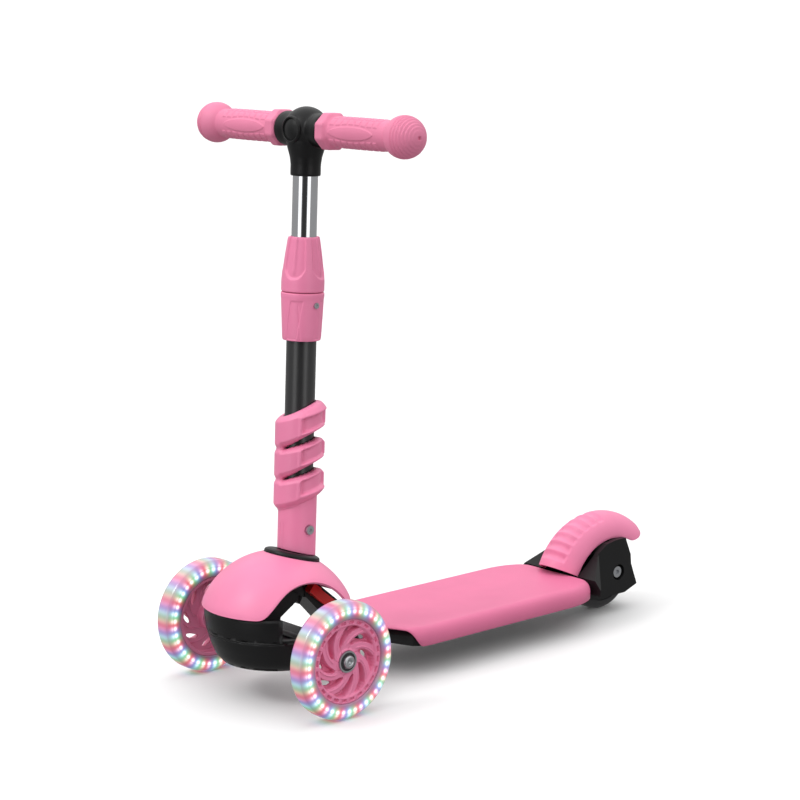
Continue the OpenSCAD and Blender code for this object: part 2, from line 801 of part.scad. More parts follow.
module spiral_cover() {
    low = spiral_low;
    high = low + spiral_turns * spiral_pitch + 26;
    color(pink) difference() {
        on_stem() tube(spiral_r, socket_r + 0.1, low, high);
        // slanted ends
        on_stem() translate([0, 0, low + 6]) rotate([0, 0, -35]) rotate([0, -spiral_slope, 0]) post(60, -40, 0);
        on_stem() translate([0, 0, high - 8]) rotate([0, 0, -35]) rotate([0, -spiral_slope, 0]) post(60, 0, 60);
        // slots between the turns, cut from the left side
        for (i = [1 : spiral_turns - 1]) {
            on_stem() translate([0, 0, low + i * spiral_pitch + 2]) rotate([0, 0, -35])
                rotate([0, -spiral_slope, 0]) difference() {
                    post(60, 0, 4);
                    rotate([0, 0, 35]) translate([-60, -120, -1]) cube([120, 120, 8]);
                }
        }
    }
}

module lower_tube() {
    color(black) on_stem() difference() {
        tube(tube_r, tube_r - tube_wall, spigot_step + 0.3, tube_rise);
        translate([0, 0, stem_bolt_at]) across() post(2.6, -40, 40);
        translate([0, 0, collar_screw_at]) across() post(1.7, 0, 40);
    }
}

module lower_collar() {
    color(pink) on_stem() difference() {
        rotate_extrude() polygon([
            [tube_r + fix_gap, collar_low], [19, collar_low], [19.6, collar_low + 1],
            [21.6, collar_seam - 3], [22, collar_seam - 2], [22, collar_seam - 0.6], [21.4, collar_seam],
            [17.2, collar_seam], [17.2, collar_seam + 23], [tube_r + fix_gap, collar_seam + 23]]);
        translate([0, 0, collar_screw_at]) across() post(1.8, 0, 40);
    }
}

module collar_screw() {
    color(steel) on_stem() translate([0, 0, collar_screw_at]) across() {
        post(1.6, tube_r - tube_wall + 0.2, 21.5);
        difference() {
            post(3, 21.4, 23);
            translate([0, 0, 22]) cylinder(r = 1.4, h = 3, $fn = 6);
        }
    }
}

module collet() {
    color(black) on_stem() difference() {
        rotate_extrude() polygon([
            [slide_r + run_gap, tube_rise + 0.3], [tube_r, tube_rise + 0.3], [tube_r, collar_seam + 24],
            [slide_r + 1, collar_seam + 40], [slide_r + run_gap, collar_seam + 40]]);
        for (a = [0 : 90 : 270]) rotate([0, 0, a + 45]) translate([0, -0.75, collar_seam + 12]) cube([30, 1.5, 40]);
    }
}

module twist_collar() {
    color(pink) on_stem() difference() {
        rotate_extrude() polygon([
            [17.6, twist_low], [21.2, twist_low], [21.8, twist_low + 1], [21.8, twist_low + 10],
            [20.4, twist_low + 26], [16.6, twist_top - 1], [16, twist_top], [slide_r + 0.4, twist_top],
            [slide_r + 0.4, twist_low + 46.5], [tube_r + 1.2, twist_low + 24.2], [17.6, twist_low + 24]]);
        for (a = [45 : 90 : 315]) rotate([0, 0, a]) translate([20.2, 0, 0])
            scale_panel(twist_low + 14, twist_top + 1);
    }
}

// A shallow upright panel cut with a rounded foot
module scale_panel(low, high) {
    rotate([0, -5, 0]) translate([1.5, 0, low]) {
        post(4, 2, high - low + 4);
        translate([0, 0, 2]) sphere(r = 4);
    }
}

// ---------- handlebar ----------

module slide_tube() {
    color(steel) on_stem() tube(slide_r, slide_r - 1.5, slide_foot, bar_at - 13.4);
}

module tube_glide() {
    color(black) on_stem() difference() {
        tube(tube_r - tube_wall - 0.08, slide_r + eps, slide_foot, slide_foot + 15);
    }
}

module tee_joint() {
    color(black) on_stem() difference() {
        union() {
            rotate_extrude() polygon([[0, tee_low], [14.6, tee_low], [15.2, tee_low + 1],
                [15.6, tee_low + 14], [17.4, tee_low + 24], [20.5, bar_at - 12], [0, bar_at]]);
            translate([0, 0, bar_at]) sphere(r = tee_ball_r);
            translate([0, 0, bar_at]) across() post(tee_sleeve_r, -tee_half, tee_half);
        }
        post(slide_r + fix_gap, tee_low - 1, bar_at - 13.3);
        translate([0, 0, bar_at]) across() post(bar_r + fix_gap, -60, 60);
        translate([0, 0, bar_at]) rotate([0, 90, 0]) post(2.7, -20, 40);
        translate([0, 0, bar_at]) rotate([0, 90, 0]) post(11.6, tee_ball_r - 5, 40);
    }
}

module tee_cap() {
    color(black) on_stem() translate([0, 0, bar_at]) rotate([0, 90, 0]) difference() {
        intersection() {
            post(11.5, tee_ball_r - 5, 40);
            sphere(r = tee_ball_r - 0.2);
        }
        post(5, tee_ball_r - 6, tee_ball_r - 1.9);
    }
}

module tee_screw() {
    color(steel) on_stem() translate([0, 0, bar_at]) rotate([0, 90, 0]) {
        post(2.5, -16, tee_ball_r - 5);
        post(4.5, tee_ball_r - 5, tee_ball_r - 2);
    }
}

module crossbar() {
    color(steel) on_stem() translate([0, 0, bar_at]) difference() {
        across() tube(bar_r, bar_r - 1.5, -bar_half, bar_half);
        rotate([0, 90, 0]) post(2.6, -20, 20);
    }
}

module grip() {
    across() difference() {
        union() {
            post(grip_r, tee_half + 0.4, ball_spread / 2);
            translate([0, 0, tee_half + 0.4]) rotate([0, 0, 22.5]) cylinder(r = flange_r, h = flange_w, $fn = 8);
            translate([0, 0, ball_spread / 2]) sphere(r = ball_r);
        }
        post(bar_r + 0.06, 0, bar_half + 0.2);
    }
}

module grip_left() {
    color(pink) on_stem() translate([0, 0, bar_at]) grip();
}

module grip_right() {
    color(pink) on_stem() translate([0, 0, bar_at]) mirror([0, 1, 0]) grip();
}

// ---------- front wheels ----------

// Moves to a front wheel, with local Z pointing outwards; side is 1 for left
module at_wheel(side) {
    mirror([0, side < 0 ? 1 : 0, 0]) at_front() translate([0, front_track / 2, front_r]) across() children();
}

bearing_face = 10.5;
hub_r = front_r - 17;
light_r = front_r - 8;

module front_axle(side) {
    color(steel) at_wheel(side) {
        post(axle_r, 58 - front_track / 2, bearing_face + 0.1);
        difference() {
            post(6.6, bearing_face + 0.1, bearing_face + 3.9);
            translate([0, 0, bearing_face + 2]) cylinder(r = 2.6, h = 4, $fn = 6);
        }
    }
}

module front_spacers(side) {
    stub_end = -front_wheel_w / 2 - 1;
    color(steel) at_wheel(side) {
        tube(6, axle_r + run_gap, -bearing_face + bearing_w + 0.1, bearing_face - bearing_w - 0.1);
        tube(8.6, 6.1, -bearing_face + bearing_w + 0.4, bearing_face - bearing_w - 0.4);
        tube(6, axle_r + run_gap, stub_end, -bearing_face - 0.1);
    }
}

module front_tyre(side) {
    color(milk) at_wheel(side) difference() {
        rotate_extrude($fn = 96) polygon(tyre_section(front_r, hub_r, front_wheel_w, 9));
        tube(light_r + 1, hub_r - 1, -4, 4);
    }
}

module front_hub(side) {
    color(pink) at_wheel(side) difference() {
        union() {
            tube(hub_r, hub_r - 3, -front_wheel_w / 2 + 1, front_wheel_w / 2 - 1);
            post(hub_r - 2, 3, 10);
            post(bearing_r + 3, -front_wheel_w / 2 + 1, bearing_face);
        }
        post(bearing_r - 1.8, -20, 20);
        post(bearing_r, bearing_face - bearing_w, 20);
        post(bearing_r, -20, -bearing_face + bearing_w);
        for (i = [0 : 7]) rotate([0, 0, 45 * i]) {
            translate([hub_r - 16.5, 0, -5]) cylinder(r = 5.2, h = 30);
            translate([hub_r - 23, -3.5, -5]) cylinder(r = 3, h = 30);
        }
        for (i = [0 : 15]) rotate([0, 0, 22.5 * i]) translate([hub_r - 5.4, -4.5, 8]) cube([2, 9, 10]);
    }
}

module front_lights(side) {
    color("white") at_wheel(side) {
        tube(hub_r + 1.2, hub_r, -3.6, 3.6);
        for (i = [0 : light_count - 1]) rotate([0, 0, 360 * i / light_count])
            translate([hub_r + 0.8, 0, 0]) rotate([0, 90, 0]) cylinder(r = 2.3, h = light_r - 1.8 - hub_r);
    }
}

module front_bearings(side) {
    color(steel) at_wheel(side) {
        translate([0, 0, bearing_face - bearing_w]) bearing();
        translate([0, 0, -bearing_face]) bearing();
    }
}

deck_shell();
deck_frame();
deck_screws();
rear_fork();
fork_screws();
rear_axle_bolt();
rear_axle_nut();
rear_axle_spacers();
rear_tyre();
rear_hub();
rear_bearings();
rear_bearing_spacer();
fender();
fender_pin();
fender_spring();
fold_pin();
neck();
fold_bushes();
steering_bush();
centring_rubber();
release_slider();
latch_rod();
latch_spring();
front_chassis();
front_cover();
cover_screws();
kingpin();
kingpin_washer();
stem_ring();
stem_socket();
stem_bolt();
stem_nut();
spiral_cover();
lower_tube();
lower_collar();
collar_screw();
collet();
twist_collar();
slide_tube();
tube_glide();
tee_joint();
tee_cap();
tee_screw();
crossbar();
grip_left();
grip_right();
front_axle(1);  // front_left_axle
front_spacers(1);  // front_left_spacers
front_tyre(1);  // front_left_tyre
front_hub(1);  // front_left_hub
front_lights(1);  // front_left_lights
front_bearings(1);  // front_left_bearings
front_axle(-1);  // front_right_axle
front_spacers(-1);  // front_right_spacers
front_tyre(-1);  // front_right_tyre
front_hub(-1);  // front_right_hub
front_lights(-1);  // front_right_lights
front_bearings(-1);  // front_right_bearings
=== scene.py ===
# %% [markdown]
# # A child's kick scooter
# The looks of a small three-wheeled scooter are built here around its CAD parts. Hidden parts, such as
# pins and bearings, keep their CAD shape and get a finish. The parts that catch the eye, such as the
# cover, the spiral sleeve, the grips and the lit wheels, get new surfaces worked out with numpy.

# %% Load the frame
import json
import math

import bmesh
import bpy
import numpy as np
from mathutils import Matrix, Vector

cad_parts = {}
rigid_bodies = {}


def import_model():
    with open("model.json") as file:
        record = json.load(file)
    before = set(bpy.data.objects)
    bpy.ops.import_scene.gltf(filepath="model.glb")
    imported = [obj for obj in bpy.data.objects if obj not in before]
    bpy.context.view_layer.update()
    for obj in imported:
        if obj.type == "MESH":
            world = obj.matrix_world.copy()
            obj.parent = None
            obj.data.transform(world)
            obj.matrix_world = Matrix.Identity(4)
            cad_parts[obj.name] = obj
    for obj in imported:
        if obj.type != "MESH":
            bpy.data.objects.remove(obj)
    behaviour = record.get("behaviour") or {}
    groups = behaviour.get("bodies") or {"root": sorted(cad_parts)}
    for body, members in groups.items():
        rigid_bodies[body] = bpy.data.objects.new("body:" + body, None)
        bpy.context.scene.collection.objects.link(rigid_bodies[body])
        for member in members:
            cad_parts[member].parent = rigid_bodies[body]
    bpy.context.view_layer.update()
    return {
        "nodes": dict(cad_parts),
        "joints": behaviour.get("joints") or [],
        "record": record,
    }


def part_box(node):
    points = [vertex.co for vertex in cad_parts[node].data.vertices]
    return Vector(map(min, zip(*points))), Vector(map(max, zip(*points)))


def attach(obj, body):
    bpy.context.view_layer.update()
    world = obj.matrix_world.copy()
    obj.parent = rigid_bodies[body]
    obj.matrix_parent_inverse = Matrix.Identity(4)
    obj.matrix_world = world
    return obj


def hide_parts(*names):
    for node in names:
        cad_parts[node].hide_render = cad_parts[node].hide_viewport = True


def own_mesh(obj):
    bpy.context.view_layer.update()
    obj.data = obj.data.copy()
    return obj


for leftover in list(bpy.data.objects):
    bpy.data.objects.remove(leftover)
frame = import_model()
nodes = frame["nodes"]
joints = {j["name"]: j for j in frame["joints"]}

# %% [markdown]
# ## Places
# Every place comes from the joints of the CAD model. The stem leans back a little, so it has its own
# axes: forward, left and up along the tube. The three wheels give the rest.

# %% Places
MM = 0.001
WHEEL_L = np.array(joints["front_left_spin"]["pos_m"]) / MM
WHEEL_R = np.array(joints["front_right_spin"]["pos_m"]) / MM
WHEEL_B = np.array(joints["rear_spin"]["pos_m"]) / MM
STEM = np.array(joints["twist_lock"]["pos_m"]) / MM
UP = np.array(joints["twist_lock"]["axis"])
FORWARD = np.array([UP[2], 0, -UP[0]])
LEFT = np.array([0.0, 1.0, 0.0])
AXLE_X = WHEEL_L[0]
print("front axle at", AXLE_X.round(1), "mm, rear axle at", WHEEL_B[0].round(1), "mm")

# %% [markdown]
# ## Three helpers for surfaces
# A surface is a grid of points, made as whole arrays. One helper turns the grid into a mesh, welds the
# rows that meet, and turns the faces outwards. One turns local stem points into place, and one gives
# a soft step, which cuts grooves and pockets into a surface without hard corners.

# %% Helpers
def soft_step(x, low, high):
    """0 below low and 1 above high, with a smooth cubic ramp between them."""
    t = np.clip((x - low) / (high - low), 0, 1)
    return t * t * (3 - 2 * t)


def window(x, low, high, soft):
    """1 between low and high and 0 outside, with edges about soft wide."""
    return soft_step(x, low - soft / 2, low + soft / 2) * (1 - soft_step(x, high - soft / 2, high + soft / 2))


def on_stem(x, y, s):
    """Millimetres forward, left and along the stem, turned into the frame's millimetres."""
    return STEM + x[..., None] * FORWARD + y[..., None] * LEFT + s[..., None] * UP


def grid_faces(rows, cols):
    """Index rows of the quads of a grid that has rows by cols points."""
    i = np.arange(rows * cols).reshape(rows, cols)
    return np.stack([i[:-1, :-1], i[1:, :-1], i[1:, 1:], i[:-1, 1:]], -1).reshape(-1, 4)


def build(name, sheets, body, material, stands_for=(), keep=None, uv=None, recalc=True):
    """Makes one mesh from one or more grids of points in millimetres, welds it and lets it ride on a body.
    keep gives, for each grid, which of its quads stay. uv gives a pair of numbers for each grid point."""
    points, faces, start = [], [], 0
    for k, sheet in enumerate(sheets):
        rows, cols = sheet.shape[:2]
        quads = grid_faces(rows, cols) + start
        faces.append(quads if keep is None else quads[keep[k].reshape(-1)])
        points.append(sheet.reshape(-1, 3))
        start += rows * cols
    points, faces = np.concatenate(points) * MM, np.concatenate(faces)
    mesh = bpy.data.meshes.new(name)
    mesh.from_pydata(points, [], faces)
    if uv is not None:
        layer = mesh.uv_layers.new(name="UVMap")
        flat = np.concatenate([u.reshape(-1, 2) for u in uv])
        layer.data.foreach_set("uv", flat[faces.reshape(-1)].astype(np.float32).reshape(-1))
    work = bmesh.new()
    work.from_mesh(mesh)
    bmesh.ops.remove_doubles(work, verts=work.verts, dist=2e-6)
    bmesh.ops.dissolve_degenerate(work, dist=1e-6, edges=work.edges)
    if recalc:
        bmesh.ops.recalc_face_normals(work, faces=work.faces)
    work.to_mesh(mesh)
    work.free()
    mesh.polygons.foreach_set("use_smooth", np.full(len(mesh.polygons), True))
    piece = bpy.data.objects.new(name, mesh)
    bpy.context.scene.collection.objects.link(piece)
    mesh.materials.append(material)
    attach(piece, body)
    if stands_for:
        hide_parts(*stands_for)
    print(name, len(mesh.polygons), "faces")
    return piece


def turned(profile, angles):
    """A turned shape about Z: each profile point (radius, height) goes round through the angles in degrees."""
    r, z = np.array(profile, float).T
    a = np.radians(angles)
    shape = np.ones((len(r), len(a)))
    return np.stack([r[:, None] * np.cos(a), r[:, None] * np.sin(a), z[:, None] * shape], -1)


def spline(points, count):
    """A smooth line through the points, as Catmull and Rom drew it, with count points."""
    p = np.array(points, float)
    p = np.vstack([2 * p[0] - p[1], p, 2 * p[-1] - p[-2]])
    t = np.linspace(0, len(p) - 3 - 1e-9, count)
    k = t.astype(int)
    f = (t - k)[:, None]
    a, b, c, d = p[k], p[k + 1], p[k + 2], p[k + 3]
    return 0.5 * (2 * b + (c - a) * f + (2 * a - 5 * b + 4 * c - d) * f**2 + (3 * b - a - 3 * c + d) * f**3)


def rounded(profile, radius, steps=5):
    """A polyline with each inner corner cut by a small arc of about the given radius."""
    p = np.array(profile, float)
    out = [p[:1]]
    for before, at, after in zip(p[:-2], p[1:-1], p[2:]):
        u, v = before - at, after - at
        lu, lv = np.linalg.norm(u), np.linalg.norm(v)
        d = min(radius, lu * 0.45, lv * 0.45)
        a, b = at + u / lu * d, at + v / lv * d
        t = np.linspace(0, 1, steps)[:, None]
        out.append((1 - t) ** 2 * a + 2 * t * (1 - t) * at + t**2 * b)
    out.append(p[-1:])
    return np.vstack(out)


TURN = np.linspace(0, 360, 193)
print("helpers ready")

# %% [markdown]
# ## Finishes
# Almost all of the scooter is moulded plastic. Up close a moulding has a faint grain from the tool, a
# sheen that changes a little from place to place, and a colour that is a touch deeper in some spots.
# One node group gives those three, and each finish puts in its own colour, grain and gloss.

# %% The moulding group
def add_socket(tree, name, way, kind, value=None):
    """Adds one named input or output to a node group."""
    socket = tree.interface.new_socket(name=name, in_out=way, socket_type=kind)
    if value is not None:
        socket.default_value = value
    return socket


def moulding_group():
    """Colour = the base colour, lighter or darker by a slow noise. Roughness = the base plus a slow noise.
    Height = a fine noise for the grain plus a slow one for the waviness of a moulded wall."""
    tree = bpy.data.node_groups.new("moulding", "ShaderNodeTree")
    add_socket(tree, "Colour", "INPUT", "NodeSocketColor", (0.8, 0.4, 0.5, 1))
    add_socket(tree, "Shade Change", "INPUT", "NodeSocketFloat", 0.06)
    add_socket(tree, "Roughness", "INPUT", "NodeSocketFloat", 0.35)
    add_socket(tree, "Gloss Change", "INPUT", "NodeSocketFloat", 0.06)
    add_socket(tree, "Grain Scale", "INPUT", "NodeSocketFloat", 2500.0)
    add_socket(tree, "Waviness", "INPUT", "NodeSocketFloat", 0.3)
    add_socket(tree, "Colour", "OUTPUT", "NodeSocketColor")
    add_socket(tree, "Roughness", "OUTPUT", "NodeSocketFloat")
    add_socket(tree, "Height", "OUTPUT", "NodeSocketFloat")
    n, link = tree.nodes, tree.links.new
    given, out = n.new("NodeGroupInput"), n.new("NodeGroupOutput")
    place = n.new("ShaderNodeTexCoord")
    slow, fine, smudge = (n.new("ShaderNodeTexNoise") for _ in range(3))
    slow.inputs["Scale"].default_value = 18
    smudge.inputs["Scale"].default_value = 60
    smudge.inputs["Detail"].default_value = 6
    for noise in (slow, fine, smudge):
        link(place.outputs["Object"], noise.inputs["Vector"])
    link(given.outputs["Grain Scale"], fine.inputs["Scale"])
    value = n.new("ShaderNodeMapRange")
    link(slow.outputs["Fac"], value.inputs["Value"])
    low, high = n.new("ShaderNodeMath"), n.new("ShaderNodeMath")
    low.operation, high.operation = "SUBTRACT", "ADD"
    low.inputs[0].default_value = high.inputs[0].default_value = 1
    link(given.outputs["Shade Change"], low.inputs[1])
    link(given.outputs["Shade Change"], high.inputs[1])
    link(low.outputs[0], value.inputs["To Min"])
    link(high.outputs[0], value.inputs["To Max"])
    value.inputs["From Min"].default_value, value.inputs["From Max"].default_value = 0.3, 0.7
    tone = n.new("ShaderNodeHueSaturation")
    link(given.outputs["Colour"], tone.inputs["Color"])
    link(value.outputs[0], tone.inputs["Value"])
    link(tone.outputs[0], out.inputs["Colour"])
    gloss = n.new("ShaderNodeMath")
    gloss.operation = "MULTIPLY_ADD"
    centred = n.new("ShaderNodeMath")
    centred.operation = "SUBTRACT"
    centred.inputs[1].default_value = 0.5
    link(smudge.outputs["Fac"], centred.inputs[0])
    link(centred.outputs[0], gloss.inputs[0])
    link(given.outputs["Gloss Change"], gloss.inputs[1])
    link(given.outputs["Roughness"], gloss.inputs[2])
    link(gloss.outputs[0], out.inputs["Roughness"])
    height = n.new("ShaderNodeMath")
    height.operation = "MULTIPLY_ADD"
    link(slow.outputs["Fac"], height.inputs[0])
    link(given.outputs["Waviness"], height.inputs[1])
    link(fine.outputs["Fac"], height.inputs[2])
    link(height.outputs[0], out.inputs["Height"])
    return tree


MOULDING = moulding_group()
print("group", MOULDING.name, "has", len(MOULDING.nodes), "nodes")


# %% Moulded finishes
def moulded(name, colour, roughness, grain=2500.0, depth=0.05, shade=0.05, gloss=0.08, waviness=0.3, metal=0.0,
            coat=0.0, specular=0.5):
    """A Principled material fed by the moulding group. depth is the height of the grain in millimetres."""
    material = bpy.data.materials.new(name)
    material.use_nodes = True
    n, link = material.node_tree.nodes, material.node_tree.links.new
    shader = n["Principled BSDF"]
    group = n.new("ShaderNodeGroup")
    group.node_tree = MOULDING
    group.inputs["Colour"].default_value = (*colour, 1)
    for key, value in (("Roughness", roughness), ("Grain Scale", grain), ("Shade Change", shade),
                       ("Gloss Change", gloss), ("Waviness", waviness)):
        group.inputs[key].default_value = value
    bump = n.new("ShaderNodeBump")
    bump.inputs["Distance"].default_value = depth * MM
    bump.inputs["Strength"].default_value = 0.6
    link(group.outputs["Colour"], shader.inputs["Base Color"])
    link(group.outputs["Roughness"], shader.inputs["Roughness"])
    link(group.outputs["Height"], bump.inputs["Height"])
    link(bump.outputs["Normal"], shader.inputs["Normal"])
    shader.inputs["Metallic"].default_value = metal
    shader.inputs["Coat Weight"].default_value = coat
    shader.inputs["Coat Roughness"].default_value = 0.2
    shader.inputs["Specular IOR Level"].default_value = specular
    return material


PINK = moulded("pink_plastic", (0.84, 0.238, 0.41), 0.38, depth=0.03, specular=0.36)
GRIP = moulded("pink_grip", (0.78, 0.225, 0.37), 0.5, grain=3500, depth=0.06, specular=0.35)
BLACK = moulded("black_plastic", (0.007, 0.007, 0.0075), 0.36, grain=3000, depth=0.08, shade=0.15, specular=0.24)
PAINT = moulded("black_paint", (0.02, 0.02, 0.021), 0.33, grain=1800, depth=0.03, coat=0.25)
CHROME = moulded("chrome_plate", (0.62, 0.63, 0.65), 0.09, depth=0.004, shade=0.03, gloss=0.05, metal=1.0)
ZINC = moulded("zinc_steel", (0.46, 0.47, 0.49), 0.3, grain=1500, depth=0.02, shade=0.12, gloss=0.2, metal=1.0)
RUBBER = moulded("black_rubber", (0.02, 0.02, 0.022), 0.6, grain=1500, depth=0.1, shade=0.2)
RED = moulded("red_plastic", (0.8, 0.008, 0.008), 0.3, depth=0.03)
print("eight moulded and metal finishes")

FINISH = {"pink_plastic": PINK, "pink_grip": GRIP, "black_plastic": BLACK, "black_paint": PAINT, "chrome": CHROME,
          "steel": ZINC, "rubber": RUBBER, "black_tyre": RUBBER, "red_plastic": RED, "clear_tyre": PINK,
          "lights": PINK}
for part in frame["record"]["subparts"]:
    mesh = nodes[part["node"]].data
    mesh.materials.clear()
    mesh.materials.append(FINISH[part["material_slot"]])
print("every CAD part has its finish")

# %% [markdown]
# ## Lit tyres
# The front tyres are cast from cloudy, tinted urethane, and a ring of small lamps shines out of them. Real
# lamps in real cloudy plastic are slow to render and are lost in the export, so the glow is painted by
# the material: the tyre's own map runs once round in lamps and across in millimetres, three soft waves
# give the hue that drifts from lamp to lamp, and a bright core sits at each lamp.

# %% The tyre finish
LAMPS = 42
LAMP_R = 51.0
HUE_SHIFTS = (0, 1.2, 1.75)
HUE_POWERS = (1.8, 1.3, 1.5)
CORE_FALL, HALO_FALL = -0.15, -0.045
TYRE_R, TYRE_HALF, TYRE_SHOULDER = 60.0, 12.0, 9.0
RIM_R = 42.9


def tyre_finish():
    """Emission = hue wave x halo + white x core. The hue waves are cosines with a period of three lamps.
    The halo falls off with the distance across the tread, and the core with the distance from the lamp."""
    material = bpy.data.materials.new("lit_tyre")
    material.use_nodes = True
    n, link = material.node_tree.nodes, material.node_tree.links.new
    shader = n["Principled BSDF"]

    def math_node(kind, a, b=None, c=None):
        node = n.new("ShaderNodeMath")
        node.operation = kind
        for slot, given in enumerate((a, b, c)):
            if given is None:
                continue
            if isinstance(given, (int, float)):
                node.inputs[slot].default_value = given
            else:
                link(given, node.inputs[slot])
        return node.outputs[0]

    uv = n.new("ShaderNodeUVMap")
    uv.uv_map = "UVMap"
    split = n.new("ShaderNodeSeparateXYZ")
    link(uv.outputs[0], split.inputs[0])
    u, v = split.outputs[0], split.outputs[1]
    waves = []
    for shift in HUE_SHIFTS:
        turn = math_node("MULTIPLY_ADD", u, 2 * math.pi / 3, -2 * math.pi * shift / 3)
        waves.append(math_node("MULTIPLY_ADD", math_node("COSINE", turn), 0.5, 0.5))
    hue = n.new("ShaderNodeCombineColor")
    for k, (wave, exponent) in enumerate(zip(waves, HUE_POWERS)):
        link(math_node("POWER", wave, exponent), hue.inputs[k])
    lift = n.new("ShaderNodeMix")
    lift.data_type = "RGBA"
    lift.inputs["Factor"].default_value = 0.07
    lift.inputs["B"].default_value = (1, 0.72, 0.86, 1)
    link(hue.outputs[0], lift.inputs["A"])
    along = math_node("SUBTRACT", math_node("FRACT", u), 0.5)
    along = math_node("MULTIPLY", along, 2 * math.pi * LAMP_R / LAMPS)
    across = math_node("MULTIPLY", v, v)
    core = math_node("ADD", math_node("MULTIPLY", along, along), across)
    core = math_node("EXPONENT", math_node("MULTIPLY", core, CORE_FALL))
    halo = math_node("EXPONENT", math_node("MULTIPLY", across, HALO_FALL))
    glow = n.new("ShaderNodeMix")
    glow.data_type = "RGBA"
    link(core, glow.inputs["Factor"])
    link(lift.outputs["Result"], glow.inputs["A"])
    glow.inputs["B"].default_value = (1, 1, 1, 1)
    power = n.new("ShaderNodeVectorMath")
    power.operation = "SCALE"
    link(glow.outputs["Result"], power.inputs[0])
    link(math_node("MULTIPLY_ADD", core, 0.85, math_node("MULTIPLY", halo, 0.62)), power.inputs["Scale"])
    link(power.outputs[0], shader.inputs["Emission Color"])
    shader.inputs["Emission Strength"].default_value = 1.0
    group = n.new("ShaderNodeGroup")
    group.node_tree = MOULDING
    group.inputs["Colour"].default_value = (0.42, 0.2, 0.32, 1)
    group.inputs["Roughness"].default_value = 0.22
    link(group.outputs["Colour"], shader.inputs["Base Color"])
    link(group.outputs["Roughness"], shader.inputs["Roughness"])
    bump = n.new("ShaderNodeBump")
    bump.inputs["Distance"].default_value = 0.00003
    link(group.outputs["Height"], bump.inputs["Height"])
    link(bump.outputs["Normal"], shader.inputs["Normal"])
    shader.inputs["Coat Weight"].default_value = 0.6
    shader.inputs["Coat Roughness"].default_value = 0.08
    return material


LIT = tyre_finish()
print("tyre finish with", len(LIT.node_tree.nodes), "nodes")

# %% [markdown]
# The tyre itself is a turned shape: flat sides, wide round shoulders and a gently crowned tread. Its map is
# unrolled from the same profile, and counts millimetres from the circle where the lamps sit.


# %% Front tyres
def wheel_place(local, centre, side):
    """Turns wheel points, whose Z is the axle, into the frame. Local Z points outwards on both sides."""
    x, y, z = local[..., 0], local[..., 1], local[..., 2]
    return np.stack([centre[0] + x, centre[1] + side * z, centre[2] + y], -1)


def tyre_profile(outer, inner, half, shoulder):
    """Closed section as (radius, across): up one side, over an elliptic shoulder and crown, down the other."""
    a = np.radians(np.linspace(0, 90, 14))
    left = np.stack([outer - shoulder + shoulder * np.sin(a), -half + shoulder * 0.92 * (1 - np.cos(a))], -1)
    right = left[::-1] * [1, -1]
    base = np.array([[inner, -half + 0.8]])
    wall = np.array([[inner + 0.8, -half]])
    return np.vstack([base, wall, left, right, wall * [1, -1], base * [1, -1], base])


def lit_tyre(name, centre, side, body, stands_for):
    """A turned tyre whose map is (lamps round, millimetres from the lamp circle)."""
    profile = tyre_profile(TYRE_R, RIM_R, TYRE_HALF, TYRE_SHOULDER)
    angles = np.linspace(0, 360, 337)
    sheet = wheel_place(turned(profile, angles), centre, side)
    distance = np.where(profile[:, 0] < 53.5, profile[:, 0] - LAMP_R, (profile[:, 0] - LAMP_R) * 0.55)
    distance = np.where(profile[:, 0] > 59.0, 3.0 + 0.1 * np.abs(profile[:, 1]), distance)
    uv = np.stack(np.broadcast_arrays(angles[None] * LAMPS / 360, distance[:, None]), -1)
    return build(name, [sheet], body, LIT, stands_for, uv=[uv])


lit_tyre("left_lit_tyre", WHEEL_L, 1, "front_left_wheel", ["front_left_tyre", "front_left_lights"])
lit_tyre("right_lit_tyre", WHEEL_R, -1, "front_right_wheel", ["front_right_tyre", "front_right_lights"])

# %% [markdown]
# ## Wheel centres
# The hub is a thick disc with eight drop-shaped pockets that spin outwards, a raised rib between each pair, a
# ring of small slots, and a hole through the deep end of every pocket. It is a height field in polar
# coordinates: an outer and an inner face share one grid, and where a hole goes through, the two faces
# meet and their quads are dropped, so the weld closes the wall by itself.


# %% Front wheel centres
POCKET_STEP, SLOT_STEP = 45, 15
SWIRL = 2.1  # degrees of turn for each millimetre outwards


def hub_faces(radius, angle):
    """Heights of the outer and inner face at each polar point, and the mask of the through holes."""
    swirl = angle - SWIRL * (radius - 16)
    cell = (swirl % POCKET_STEP) - POCKET_STEP / 2
    arc = np.radians(cell) * radius
    length = (radius - 16.2) / 19.8
    width = 1.5 + 6.4 * np.clip(length, 0, 1) ** 0.8
    inside = np.clip(length, 0, 1) * np.clip(1.03 - length, 0, 1) * 14
    pocket = soft_step(width * np.clip(inside, 0, 1) - np.abs(arc + 1.2), -0.4, 0.8)
    rib_arc = np.radians(((swirl + 21) % POCKET_STEP) - POCKET_STEP / 2) * radius
    rib = np.exp(-(rib_arc / 0.85) ** 2) * window(radius, 17, 36, 3)
    slot_arc = ((angle % SLOT_STEP) - SLOT_STEP / 2) * np.pi / 180 * radius
    slots = window(radius, 38.4, 40.8, 0.6) * window(slot_arc, -3.0, 3.0, 0.9)
    dish = 9.2 + 0.9 * soft_step(radius, 35.5, 37.2) - 1.4 * window(radius, 12.6, 35.5, 2.0)
    outer = dish - 7.2 * pocket + 0.9 * rib * (1 - pocket) - 2.6 * slots
    inner = -10.6 + 8.2 * window(radius, 14.5, 38.5, 1.2) - 0.9 * rib
    hole = ((arc + 1.2) / 4.4) ** 2 + ((radius - 29.5) / 4.9) ** 2 < 1
    middle = (outer + inner) / 2
    return np.where(hole, middle, outer), np.where(hole, middle, inner), hole


